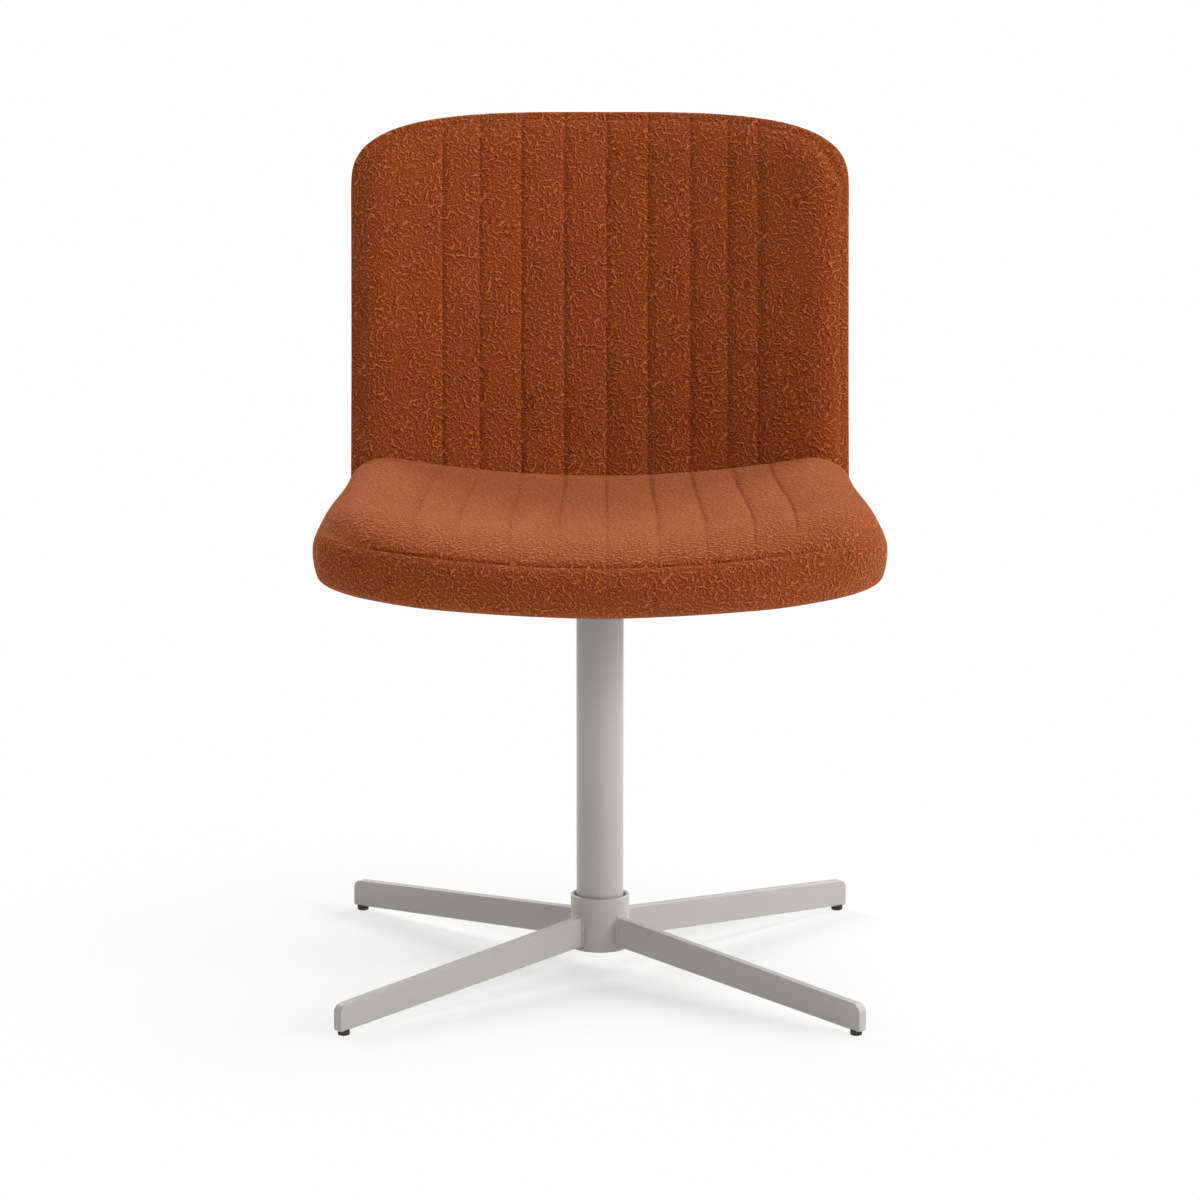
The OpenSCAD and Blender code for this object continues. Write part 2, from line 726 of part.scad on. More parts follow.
// The slot at the cover's lower edge where a bracket goes in
module bracket_slot(side) {
    gap = 2 * soft_gap;
    in_bracket(side) rotate([-recline, 0, 0])
        translate([-bracket_w / 2 - gap, -gap, -cover_mouth])
            cube([bracket_w + 2 * gap, bracket_t + 2 * gap, 3 * cover_mouth]);
}

module back_rear_cover() {
    color(rust) difference() {
        on_back() translate([0, cover_inset, -soft_gap]) rotate([0, 180, 0])
            pad(cover_sizes, plain_columns);
        bracket_slot(-1);
        bracket_slot(1);
    }
}

// A steel flat bent once, from under the seat board up behind the back board
module bracket(side) {
    mid_z = bracket_bend_r;
    mid_y = bracket_bend_r * (tan(recline) - 1 / cos(recline));
    top = [mid_y + bracket_bend_r * cos(recline) + bracket_up_l * sin(recline),
        mid_z - bracket_bend_r * sin(recline) + bracket_up_l * cos(recline)];
    through = bracket_t + 2 * over;
    color(paint) difference() {
        in_bracket(side) rotate([90, 0, 90])
            translate([0, 0, -bracket_w / 2]) linear_extrude(height = bracket_w)
                polygon(concat([[-foot_l, 0]],
                    arc(mid_y, mid_z, bracket_bend_r, -90, -recline, 6),
                    [top, top + bracket_t * [cos(recline), -sin(recline)]],
                    arc(mid_y, mid_z, bracket_bend_r + bracket_t, -recline, -90, 6),
                    [[-foot_l, -bracket_t]]));
        at_foot_screws(side) translate([0, 0, -dust_t - through + over])
            cylinder(d = screw_hole_d, h = through);
        at_back_screws(side) translate([0, 0, -rest_gap - bracket_t - over])
            cylinder(d = screw_hole_d, h = through);
        at_back_screws(side) translate([0, 0, -rest_gap - bracket_t])
            cylinder(d1 = sunk_head_d, d2 = screw_d, h = sunk_head_h);
    }
}

hub_tube();
hub_floor();
hub_cap();
dust_ring();
spindle();
spindle_nut();
thrust_washer();
retaining_washer();
retaining_screw();
leg(FRONT_LEFT);  // leg_front_left
leg(FRONT_RIGHT);  // leg_front_right
leg(REAR_LEFT);  // leg_rear_left
leg(REAR_RIGHT);  // leg_rear_right
glide(FRONT_LEFT);  // glide_front_left
glide(FRONT_RIGHT);  // glide_front_right
glide(REAR_LEFT);  // glide_rear_left
glide(REAR_RIGHT);  // glide_rear_right
column_tube();
lower_bush();
upper_bush();
seat_plate();
seat_plate_screws();
seat_tee_nuts();
seat_board();
seat_cushion();
seat_dust_cover();
bracket(-1);  // bracket_left
bracket(1);  // bracket_right
bracket_seat_screws();
bracket_back_screws();
back_tee_nuts();
back_board();
back_cushion();
back_rear_cover();
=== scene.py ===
# %% [markdown]
# # A visitor chair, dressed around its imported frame
# The real chair has a welded base of four flat bars, a round column that turns in a hub, and two
# padded shells in a looped rust cloth. Its rigid pieces arrive as finished solids, so they could be
# modelled again, but it is better to leave them where they are and give them real finishes. The
# soft pieces are made anew here, because cloth has seams and swellings that a solid only hints at.

import json
import math

import bmesh
import bpy
import numpy as np
from mathutils import Matrix, Vector


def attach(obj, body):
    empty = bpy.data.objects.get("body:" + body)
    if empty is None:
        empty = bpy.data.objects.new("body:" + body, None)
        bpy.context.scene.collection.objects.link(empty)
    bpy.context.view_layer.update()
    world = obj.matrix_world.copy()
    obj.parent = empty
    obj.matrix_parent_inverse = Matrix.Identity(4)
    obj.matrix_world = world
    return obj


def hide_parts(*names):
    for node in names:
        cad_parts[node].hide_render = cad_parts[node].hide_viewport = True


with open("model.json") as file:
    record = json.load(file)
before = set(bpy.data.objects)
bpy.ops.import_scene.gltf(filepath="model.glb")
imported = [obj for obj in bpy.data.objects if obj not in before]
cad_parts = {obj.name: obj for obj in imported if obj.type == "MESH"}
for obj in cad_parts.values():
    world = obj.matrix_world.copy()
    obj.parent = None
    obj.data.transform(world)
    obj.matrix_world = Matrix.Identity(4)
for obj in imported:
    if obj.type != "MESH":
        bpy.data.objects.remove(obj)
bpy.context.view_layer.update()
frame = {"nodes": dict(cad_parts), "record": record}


# %% [markdown]
# ## The camera
# The chair was seen from straight ahead and a little above, with a long lens from about six metres.
# A camera could be placed by eye, but its height, tilt and lens were worked out from the four
# glides, which stand on one circle on the floor, so they are written down as they came out.

# %% Place the camera
CAMERA_PLACE = (0, -6.164, 1.618)
CAMERA_TILT = math.radians(78.73)
FILM_WIDTH = 36
LENS = 184.5
SIGHT = 60
bpy.ops.object.camera_add(location=CAMERA_PLACE, rotation=(CAMERA_TILT, 0, 0))
camera = bpy.context.object
camera.data.sensor_width = FILM_WIDTH
camera.data.lens = LENS
camera.data.clip_end = SIGHT
bpy.context.scene.camera = camera
bpy.context.scene.view_settings.view_transform = "Standard"
print("camera lens", camera.data.lens, "mm at", CAMERA_PLACE)


# %% [markdown]
# ## Small helpers for materials
# Every finish here is made of nodes. Placing nodes by hand takes many lines, so helpers do it: one
# adds a node and fills in its sockets, another joins two sockets. Colours are written as they are
# seen on a screen, and a third helper turns them into the linear values that the shader works with.

# %% Colours and single nodes
def linear(r, g, b):
    """Screen colour from 0 to 255 as a linear colour with alpha, by the sRGB curve."""
    return tuple((c / 255 / 12.92) if c < 10.3 else ((c / 255 + 0.055) / 1.055) ** 2.4
                 for c in (r, g, b)) + (1,)


def grey(value):
    """A grey of that linear value."""
    return (value, value, value, 1)


def add_node(tree, kind, inputs=None, **settings):
    """A node of that kind with its settings and its input values."""
    node = tree.nodes.new("ShaderNode" + kind)
    for key, value in settings.items():
        setattr(node, key, value)
    for key, value in (inputs or {}).items():
        node.inputs[key].default_value = value
    return node


def join(tree, source, output, target, socket):
    """A link from one node's output to another's input."""
    tree.links.new(source.outputs[output], target.inputs[socket])


# %% [markdown]
# The same few chains of nodes come back in every finish: a noise, a ramp that colours it, and a
# bump. So each has a helper of its own. A noise seldom leaves the middle of its range, and most
# ramps run over that middle only, or their end colours would hardly show.

# %% Helpers for a whole finish
NOISE_RANGE = (0.3, 0.7)
finishes = {}


def new_finish(slot, title, colour, roughness, **sockets):
    """A material for that slot: its tree, its shader and its coordinates."""
    finish = bpy.data.materials.new(title)
    finish.use_nodes = True
    tree = finish.node_tree
    shader = tree.nodes["Principled BSDF"]
    shader.inputs["Base Color"].default_value = colour
    shader.inputs["Roughness"].default_value = roughness
    for key, value in sockets.items():
        shader.inputs[key.replace("_", " ")].default_value = value
    finishes[slot] = finish
    print("made", title, "for", slot)
    return tree, shader, add_node(tree, "TexCoord")


def noise_at(tree, source, output, **inputs):
    """A noise that is read at the source's places."""
    noise = add_node(tree, "TexNoise", inputs)
    join(tree, source, output, noise, "Vector")
    return noise


def ramp_between(tree, source, output, low, high, colours):
    """A colour ramp that runs through the colours between two values of the source."""
    ramp = add_node(tree, "ValToRGB")
    marks = ramp.color_ramp.elements
    while len(marks) < len(colours):
        marks.new(0.5)
    for i, colour in enumerate(colours):
        marks[i].position = low + (high - low) * i / (len(colours) - 1)
        marks[i].color = colour
    join(tree, source, output, ramp, "Fac")
    return ramp


def colour_from(tree, source, output, low, high, colours, shader, socket="Base Color"):
    """Feeds a ramp between two values of the source into a socket of the shader."""
    join(tree, ramp_between(tree, source, output, low, high, colours), "Color", shader, socket)


def bump_from(tree, source, output, shader, depth, strength, under=None):
    """A bump of that depth in metres, laid over another normal if one is given."""
    bump = add_node(tree, "Bump", {"Distance": depth, "Strength": strength})
    join(tree, source, output, bump, "Height")
    if under is not None:
        join(tree, under, "Normal", bump, "Normal")
    join(tree, bump, "Normal", shader, "Normal")


print("noises are coloured from", *NOISE_RANGE)


# %% [markdown]
# ## Studio floor and backdrop
# The chair stands on a white floor that runs into a white background, with a faint soft shadow. A
# large curved backdrop could do this, but it would need more light than the chair can take. Here
# the floor and the sky look white only to the camera and to reflections, while the light that
# reaches the chair stays plain.

# %% What is seen directly
def is_seen_directly(tree):
    """One where a ray comes from the camera or from a mirror or glass, zero elsewhere."""
    rays = add_node(tree, "LightPath")
    first = add_node(tree, "Math", operation="MAXIMUM")
    join(tree, rays, "Is Camera Ray", first, 0)
    join(tree, rays, "Is Glossy Ray", first, 1)
    both = add_node(tree, "Math", operation="MAXIMUM")
    join(tree, first, "Value", both, 0)
    join(tree, rays, "Is Transmission Ray", both, 1)
    return both


SKY_LIGHT = 0.01
WHITE = 0.99
sky = bpy.data.worlds.new("studio_sky")
sky.use_nodes = True
bpy.context.scene.world = sky
tree = sky.node_tree
glow = tree.nodes["Background"]
level = add_node(tree, "MapRange", {"From Min": 0, "From Max": 1,
                                    "To Min": SKY_LIGHT, "To Max": WHITE})
join(tree, is_seen_directly(tree), "Value", level, "Value")
join(tree, level, "Result", glow, "Strength")
glow.inputs["Color"].default_value = grey(1)
print("sky looks", WHITE, "and lights with", SKY_LIGHT)

# %% [markdown]
# The floor mixes a matt white that takes the shadow with a glow. In the middle it is half matt, so
# the shadow shows. Three quarters of a metre out it is all glow, so it ends in plain white. From
# below it is clear, so a look up at the seat isn't blocked.

# %% The floor's glow
FLOOR_SIZE = 60
FLOOR_GREY = 0.82
FADE_SHIFT = (0.02, -0.08, 0)
FADE_START, FADE_END = 0.05, 0.76
MIDDLE_GLOW = 0.50
bpy.ops.object.select_all(action="DESELECT")
bpy.ops.mesh.primitive_plane_add(size=FLOOR_SIZE, location=(0, 0, 0))
floor = bpy.context.object
floor.name = "floor"
paper = bpy.data.materials.new("floor_paper")
paper.use_nodes = True
tree = paper.node_tree
tree.nodes.remove(tree.nodes["Principled BSDF"])
spot = add_node(tree, "TexCoord")
centred = add_node(tree, "VectorMath", {1: FADE_SHIFT}, operation="ADD")
join(tree, spot, "Object", centred, 0)
far = add_node(tree, "VectorMath", operation="LENGTH")
join(tree, centred, "Vector", far, 0)
fade = add_node(tree, "MapRange", {"From Min": FADE_START, "From Max": FADE_END,
                                   "To Min": MIDDLE_GLOW, "To Max": 1},
                interpolation_type="SMOOTHSTEP")
join(tree, far, "Value", fade, "Value")
level = add_node(tree, "Math", operation="MULTIPLY")
join(tree, is_seen_directly(tree), "Value", level, 0)
join(tree, fade, "Result", level, 1)
print("floor glows by", MIDDLE_GLOW, "in the middle, fully from", FADE_END, "m on")

# %% The floor's surface
matt = add_node(tree, "BsdfDiffuse", {"Color": grey(FLOOR_GREY)})
shine = add_node(tree, "Emission", {"Color": grey(1), "Strength": WHITE})
share = add_node(tree, "MixShader")
join(tree, level, "Value", share, "Fac")
join(tree, matt, "BSDF", share, 1)
join(tree, shine, "Emission", share, 2)
clear = add_node(tree, "BsdfTransparent")
side = add_node(tree, "NewGeometry")
below = add_node(tree, "MixShader")
join(tree, side, "Backfacing", below, "Fac")
join(tree, share, "Shader", below, 1)
join(tree, clear, "BSDF", below, 2)
join(tree, below, "Shader", tree.nodes["Material Output"], "Surface")
floor.data.materials.append(paper)
print("floor laid")


# %% [markdown]
# ## The lamps
# One key lamp and a reflector would be the plain way to light a chair, but here soft light comes
# from all sides. Six area lamps give it. Two stand in front, one at the right for the rims on that
# side, and one above. The two behind graze the top of the seat, where the cloth then shows its
# sheen. Each lamp's power was set by comparing the chair with the photograph.

# %% Six soft lamps
LAMPS = [  # name, place, width in metres, power in watts
    ("key_right", (2.6, -2.6, 2.2), 1.6, 36),
    ("side_right", (3.4, -0.9, 1.7), 1.6, 88),
    ("top", (0.2, -0.3, 3.2), 1.8, 29),
    ("front_left", (-2.6, -2.6, 1.6), 1.6, 39),
    ("rear_left", (-2.2, 2.8, 2.3), 1.8, 103),
    ("rear_right", (2.4, 2.2, 2.2), 1.6, 76),
]
AIM = Vector((0, 0, 0.5))
for name, spot, width, power in LAMPS:
    bpy.ops.object.light_add(type="AREA", location=spot)
    lamp = bpy.context.object
    lamp.name = name
    lamp.rotation_euler = (AIM - Vector(spot)).to_track_quat("-Z", "Y").to_euler()
    lamp.data.size = width
    lamp.data.energy = power
print("lamps:", [(name, power) for name, spot, width, power in LAMPS])


# %% [markdown]
# ## The painted steel
# Base, column and brackets are powder coated in a warm light grey. A plain grey would look like
# plastic, so two things are added: a very fine unevenness, which powder leaves when it melts, and a
# slight change of tone over the length of a hand. A bevel node softens the light on the cut edges,
# as paint does.

# %% Powder coat
EDGE_R = 0.0011
tree, shader, place = new_finish("painted_steel", "powder_coat", linear(176, 174, 168), 0.42,
                                 Specular_IOR_Level=0.45)
tone = noise_at(tree, place, "Object", Scale=9, Detail=3)
colour_from(tree, tone, "Fac", *NOISE_RANGE, [linear(173, 171, 165), linear(179, 177, 171)], shader)
grain = noise_at(tree, place, "Object", Scale=1100, Detail=2)
soft_edge = add_node(tree, "Bevel", {"Radius": EDGE_R}, samples=6)
bump_from(tree, grain, "Fac", shader, depth=0.0002, strength=0.25, under=soft_edge)
colour_from(tree, grain, "Fac", *NOISE_RANGE, [grey(0.36), grey(0.5)], shader, "Roughness")
print("its edges are rounded by", EDGE_R * 1000, "mm")


# %% [markdown]
# ## Plated steel, nylon, plastic and rubber
# These finishes sit inside the hub, under the seat and under the legs. Each could be one flat
# colour, but that would show when the chair is turned over. Zinc plate gets faint clouds of tone
# and of shine. Nylon and the moulded black pieces get a fine grain.

# %% Plated steel
tree, shader, place = new_finish("bare_steel", "zinc_plate", linear(178, 180, 184), 0.34,
                                 Metallic=1)
clouds = noise_at(tree, place, "Object", Scale=260, Detail=5, Roughness=0.6)
colour_from(tree, clouds, "Fac", *NOISE_RANGE, [linear(160, 162, 166), linear(196, 197, 200)],
            shader)
colour_from(tree, clouds, "Fac", *NOISE_RANGE, [grey(0.25), grey(0.45)], shader, "Roughness")
bump_from(tree, clouds, "Fac", shader, depth=0.0002, strength=0.3)

# %% Moulded pieces
MOULDED = [  # slot, title, light and dark colour, roughness, fineness of the grain
    ("bearing_nylon", "natural_nylon", (226, 222, 208), (214, 210, 196), 0.45, 700),
    ("black_plastic", "black_moulding", (26, 26, 28), (16, 16, 18), 0.5, 1500),
    ("glide_rubber", "hard_rubber", (24, 24, 25), (12, 12, 13), 0.62, 1900),
]
for slot, title, light, dark, rough, fine in MOULDED:
    tree, shader, place = new_finish(slot, title, linear(*light), rough)
    grain = noise_at(tree, place, "Object", Scale=fine, Detail=3)
    colour_from(tree, grain, "Fac", *NOISE_RANGE, [linear(*dark), linear(*light)], shader)
    bump_from(tree, grain, "Fac", shader, depth=0.0003, strength=0.35)


# %% [markdown]
# ## Beech ply and lining cloth
# The two moulded boards are hidden by the pads but show in their gaps, so they get a wood grain
# that runs across the chair: noise that is stretched along one axis. The black lining under the
# seat is a felted sheet of fibres, made by a noise that is stretched two ways and mixed.

# %% Beech ply
GRAIN_STRETCH = (6, 160, 160)
tree, shader, place = new_finish("plywood", "beech_ply", linear(205, 170, 125), 0.55)
stretch = add_node(tree, "Mapping", {"Scale": GRAIN_STRETCH})
join(tree, place, "Object", stretch, "Vector")
fibre = noise_at(tree, stretch, "Vector", Scale=2, Detail=6, Roughness=0.65, Distortion=0.4)
colour_from(tree, fibre, "Fac", 0.3, 0.75,
            [linear(176, 134, 88), linear(206, 170, 124), linear(221, 190, 148)], shader)
bump_from(tree, fibre, "Fac", shader, depth=0.0003, strength=0.3)

# %% Felted lining
FIBRE_STRETCHES = [(900, 90, 90), (90, 900, 90)]
tree, shader, place = new_finish("lining_cloth", "felted_lining", linear(30, 30, 32), 0.95,
                                 Specular_IOR_Level=0.2)
strands = []
for stretched in FIBRE_STRETCHES:
    stretch = add_node(tree, "Mapping", {"Scale": stretched})
    join(tree, place, "Object", stretch, "Vector")
    strands.append(noise_at(tree, stretch, "Vector", Scale=1.2, Detail=3, Distortion=0.6))
felt = add_node(tree, "Math", operation="MAXIMUM")
for k, strand in enumerate(strands):
    join(tree, strand, "Fac", felt, k)
colour_from(tree, felt, "Value", 0.4, 0.75, [linear(20, 20, 21), linear(52, 52, 55)], shader)
bump_from(tree, felt, "Value", shader, depth=0.0004, strength=0.6)


# %% [markdown]
# ## The looped cloth
# Seat and back are covered in a looped wool mix whose yarn lies in short curls on a finer ground. A
# photograph of cloth would be the usual way, but it repeats and it can't be used here. Plain noise
# gives clouds and no curls. Gabor noise is made of short waves of one width that turn this way and
# that, and its phase alone gives lines of even strength, which is just what such curls are. It is
# laid out flat in metres, by a map that each pad brings with it, because cut through space its
# lines would widen where they lean away.

# %% Yarn lines
CURL_WIDTH = 0.0064
SHORT_WIDTH = CURL_WIDTH * 0.44
PATCH_WAVES = 1.4


def yarn_lines(tree, source, output, width, waves):
    """Lines of yarn that lie that far apart, from zero between them to one on their backs."""
    lines = add_node(tree, "TexGabor", {"Scale": 1 / width / waves, "Frequency": waves,
                                        "Anisotropy": 0.0}, gabor_type="2D")
    join(tree, source, output, lines, "Vector")
    angle = add_node(tree, "Math", {1: 2 * math.pi}, operation="MULTIPLY")
    join(tree, lines, "Phase", angle, 0)
    wave = add_node(tree, "Math", operation="COSINE")
    join(tree, angle, "Value", wave, 0)
    risen = add_node(tree, "MapRange", {"From Min": -1, "From Max": 1})
    join(tree, wave, "Value", risen, "Value")
    return risen


print("curls lie", CURL_WIDTH * 1000, "mm apart, and those of the ground", SHORT_WIDTH * 1000)

# %% [markdown]
# The waves are turned into light, dark and height by sums. Written node by node, a sum would be
# hard to read. So one helper takes the parts of a sum as numbers or as nodes, and a second makes a
# ramp of greys from a list of marks.

# %% Sums of nodes, and ramps of grey
def math_node(tree, operation, first, second, third=0.0):
    """A Math node. Each value is a number or a node whose first output is used."""
    node = add_node(tree, "Math", operation=operation)
    for k, value in enumerate((first, second, third)):
        if isinstance(value, (int, float)):
            node.inputs[k].default_value = value
        else:
            tree.links.new(value.outputs[0], node.inputs[k])
    return node


def grey_ramp(tree, source, marks):
    """A ramp of greys through the marks, each a place and a brightness."""
    ramp = add_node(tree, "ValToRGB")
    points = ramp.color_ramp.elements
    while len(points) < len(marks):
        points.new(0.5)
    for point, (spot, value) in zip(points, marks):
        point.position = spot
        point.color = grey(value)
    join(tree, source, "Result", ramp, "Fac")
    return ramp


# %% [markdown]
# A curl is given a painted highlight on its back and a painted shade line along each side, where
# it would shade the ground. So one ramp turns the waves into this painted light and dark, and a
# power of the same waves gives the height. A slower noise makes some places calmer, and a second,
# finer layer of waves gives the short yarn of the ground. A sheen brightens the cloth where it is
# seen at a low angle, as its fibres do.

# %% Painted highlight, painted shade and height of the curls
CURL_HIGHLIGHT_AND_SHADE = [(0, 0.5), (0.36, 0.45), (0.66, 0.04), (0.87, 0.68), (1, 1)]
GROUND_LEVEL = 0.5
CALM_SPOTS, CALM_FROM, CALM_TO = 50, 0.34, 0.56
CALMEST, STRONGEST = 0.28, 0.94
SHORT_LIGHT, FUZZ_LIGHT, LIGHT_SHIFT = 0.36, 0.42, 0.11
SHORT_HEIGHT, FUZZ_HEIGHT, ROUND_BACK = 0.22, 0.2, 3
tree, shader, place = new_finish(
    "rust_fabric", "looped_cloth", linear(141, 63, 23), 0.95, Specular_IOR_Level=0.05,
    Sheen_Weight=0.50, Sheen_Roughness=0.50, Sheen_Tint=linear(255, 168, 120))
curls = yarn_lines(tree, place, "UV", CURL_WIDTH, PATCH_WAVES)
short = yarn_lines(tree, place, "UV", SHORT_WIDTH, PATCH_WAVES)
calm = noise_at(tree, place, "UV", Scale=CALM_SPOTS, Detail=2)
strong = add_node(tree, "MapRange", {"From Min": CALM_FROM, "From Max": CALM_TO,
                                     "To Min": CALMEST, "To Max": STRONGEST})
join(tree, calm, "Fac", strong, "Value")
# Painted highlight on each curl's back and painted shade beside it, put into the colour
curl_highlight_and_shade = grey_ramp(tree, curls, CURL_HIGHLIGHT_AND_SHADE)
fuzz = noise_at(tree, place, "UV", Scale=1500, Detail=3, Roughness=0.7)
painted_curl_light_and_shade = math_node(tree, "MULTIPLY", strong, math_node(tree, "SUBTRACT", curl_highlight_and_shade, GROUND_LEVEL))
ground = math_node(tree, "MULTIPLY_ADD", short, SHORT_LIGHT,
                   math_node(tree, "MULTIPLY", fuzz, FUZZ_LIGHT))
shade = math_node(tree, "ADD", painted_curl_light_and_shade, math_node(tree, "ADD", ground, LIGHT_SHIFT))
back = math_node(tree, "MULTIPLY", strong, math_node(tree, "POWER", curls, ROUND_BACK))
height = math_node(tree, "MULTIPLY_ADD", short, SHORT_HEIGHT,
                   math_node(tree, "MULTIPLY_ADD", fuzz, FUZZ_HEIGHT, back))
print("curls drawn, from", CALMEST, "to", STRONGEST, "of their strength")

# %% Looped cloth
# Dark end: painted shade beside the curls; middle: the yarn's colour; light end: painted highlight
YARN_WITH_PAINTED_LIGHT = [linear(73, 25, 7), linear(141, 62, 27), linear(195, 108, 56)]
MIX_FIRST, MIX_SECOND, MIX_COLOUR = 6, 7, 2
yarn_with_painted_light = ramp_between(tree, shade, "Value", 0, 1, YARN_WITH_PAINTED_LIGHT)
patches = noise_at(tree, place, "Object", Scale=14, Detail=2)
wear = ramp_between(tree, patches, "Fac", *NOISE_RANGE, [grey(0.92), grey(1)])
tinted = add_node(tree, "Mix", data_type="RGBA", blend_type="MULTIPLY")
tinted.inputs["Factor"].default_value = 1
join(tree, yarn_with_painted_light, "Color", tinted, MIX_FIRST)
join(tree, wear, "Color", tinted, MIX_SECOND)
join(tree, tinted, MIX_COLOUR, shader, "Base Color")
bump_from(tree, height, "Value", shader, depth=0.0019, strength=0.8)
print("cloth woven from", len(YARN_WITH_PAINTED_LIGHT), "colours of yarn")


# %% [markdown]
# ## Finishes for the rigid pieces
# The record that came with the frame says which finish each solid has. Each name is looked up once,
# and the material goes into the slot of that solid, so nothing is left in a flat colour.

# %% Dress the solids
for part in frame["record"]["subparts"]:
    solid = frame["nodes"][part["node"]]
    coat = finishes[part["material_slot"]]
    if not solid.material_slots:
        solid.data.materials.append(coat)
    for holder in solid.material_slots:
        holder.material = coat


# %% [markdown]
# ## Sizes of the three pads
# The seat pad, the back pad and the cover behind the back are foam in a sewn cover. Each is drawn
# from above as an outline with a straight root, sides that may widen, and a rounded free end. The
# frame's own sizes could be used, but the outline was fitted once more to the photograph, so some
# sizes differ from the frame's by up to three millimetres. All are in metres:
#
# - wide and root: half the width at the widest place and at the root; widening: how late it widens
# - long, shoulder, power: length, depth of the rounded end, and how square its corners are
# - root_r, bow_r, root_inset: the root's corners, its bow, and where its edge lies
# - high, dish, root_dish: the face's height, and its sides' rise at the free end and at the root
# - flat, bend_r: half width of the flat middle of the underside, and the bend beside it
# - edge, bulge, fall and run: how far a side stands out, the face's fall there and its length
# - under, lip, corner: how far the side tucks in below, and how far its lower edge hangs down
# - mouth, pocket: how far in the board's pocket starts, and its depth

# %% Pad sizes
RECLINE = math.radians(10)
BEND_R = 0.650
BACK_HALF = 0.2595
BACK_DISH = BACK_HALF ** 2 / 2 / BEND_R
COVER_HALF = BACK_HALF - 0.004
COVER_DISH = -COVER_HALF ** 2 / 2 / BEND_R
SEAT = dict(wide=0.2863, root=0.259, long=0.448, shoulder=0.110, power=2, root_r=0.027,
            bow_r=BEND_R, high=0.067, dish=0.0215, root_dish=0.0456, flat=0.160, bend_r=0.700,
            end_edge=0.013, side_edge=0.0045, end_fall=0.0178, end_run=0.100, side_fall=0.0245,
            side_run=0.058, root_fall=0.0015, under=0.022, lip=0.0068, mouth=0.026,
            pocket=0.0125, root_bulge=-0.005, root_inset=0.011, widening=2.7, corner=0.0008)
BACK = dict(wide=0.2592, root=0.2592, long=0.4355, shoulder=0.0752, power=3.08, root_r=0.036,
            bow_r=0, high=0.032, dish=BACK_DISH, root_dish=BACK_DISH, flat=0, bend_r=BEND_R,
            end_edge=0.009, side_edge=0.009, end_fall=0.014, end_run=0.038, side_fall=0.014,
            side_run=0.038, root_fall=0.014, under=0.004, lip=0, mouth=0.022, pocket=0.0125,
            root_bulge=0.009)
COVER = dict(wide=COVER_HALF, root=COVER_HALF, long=0.429, shoulder=0.090, power=3.2,
             root_r=0.036, bow_r=0, high=0.0205, dish=COVER_DISH, root_dish=COVER_DISH, flat=0,
             bend_r=-BEND_R, end_edge=0.007, side_edge=0.007, end_fall=0.007, end_run=0.034,
             side_fall=0.007, side_run=0.034, root_fall=0.007, under=0.003, lip=0, mouth=0.020,
             pocket=0.008, root_bulge=0.007)
print("seat", SEAT["wide"] * 2, "m wide, back", BACK["wide"] * 2, "m wide")

# %% Places and seams
SEAT_ROOT = (0, 0.173, 0.425)
BACK_ROOT = (0, 0.187, 0.430)
COVER_SHIFT = (0, 0.004, -0.0005)
SEAT_PLACE = Matrix.Translation(SEAT_ROOT) @ Matrix.Rotation(math.pi, 4, "Z")
BACK_PLACE = Matrix.Translation(BACK_ROOT) @ Matrix.Rotation(math.pi / 2 - RECLINE, 4, "X")
COVER_PLACE = BACK_PLACE @ Matrix.Translation(COVER_SHIFT) @ Matrix.Rotation(math.pi, 4, "Y")
BACK_SEAMS = [-0.653, -0.499, -0.326, -0.148, 0.029, 0.201, 0.378, 0.532, 0.659]
SEAT_SEAMS = [-0.690, -0.540, -0.372, -0.205, -0.023, 0.147, 0.321, 0.500, 0.650]
print("pads placed, with", len(BACK_SEAMS), "and", len(SEAT_SEAMS), "sewn seams")


# %% [markdown]
# ## The outline and the crown of a pad
# A pad could be pushed into shape by hand, but its seams have to run evenly to its edges. So a
# point on it is named by two shares, one across and one along, and small functions say where that
# point lies on the plan and how high the face is there. The face rises to the sides where the pad
# is dished, and falls away near its edges along a rounded line.

# %% Plan and height of a point
def half_width(s, b):
    """Half the width at a distance b from the root."""
    rise = np.clip(b, 0, None) / (s["long"] - s["shoulder"])
    widened = np.sin(math.pi / 2 * np.minimum(1, rise)) ** s.get("widening", 1)
    return s["root"] + (s["wide"] - s["root"]) * widened


def root_edge(s, u):
    """Distance of the root's edge at a share u across."""
    r = s["root_r"] / s["root"]
    t = np.clip((np.abs(u) - 1 + r) / r, 0, 1)
    bow = 0 if s["bow_r"] == 0 else (u * s["root"]) ** 2 / 2 / s["bow_r"]
    return s.get("root_inset", s["side_edge"]) + bow + s["root_r"] * (1 - np.sqrt(1 - t * t))


def free_edge(s, u):
    """Distance of the free end's edge at a share u across."""
    p = s["power"]
    arch = 1 - np.clip(1 - np.abs(u) ** p, 0, 1) ** (1 / p)
    return s["long"] - s["end_edge"] - s["shoulder"] * arch


def plan(s, u, v):
    """Place on the plan at a share u across and v along."""
    b = root_edge(s, u) + (free_edge(s, u) - root_edge(s, u)) * v
    return u * (half_width(s, b) - s["side_edge"]), b


def bend(s, a):
    """Height of the bent underside at a distance a from the middle."""
    return np.clip(np.abs(a) - s["flat"], 0, None) ** 2 / 2 / s["bend_r"]


# %% Nearness to an edge, and the fall of the face
FALL_POWER = 0.75
SIDE_POWER = 4
BLEND_POWER = 3


def nearness(x, start):
    """Zero up to the start, rising to one where x is one."""
    return np.clip((x - start) / (1 - start), 0, 1)


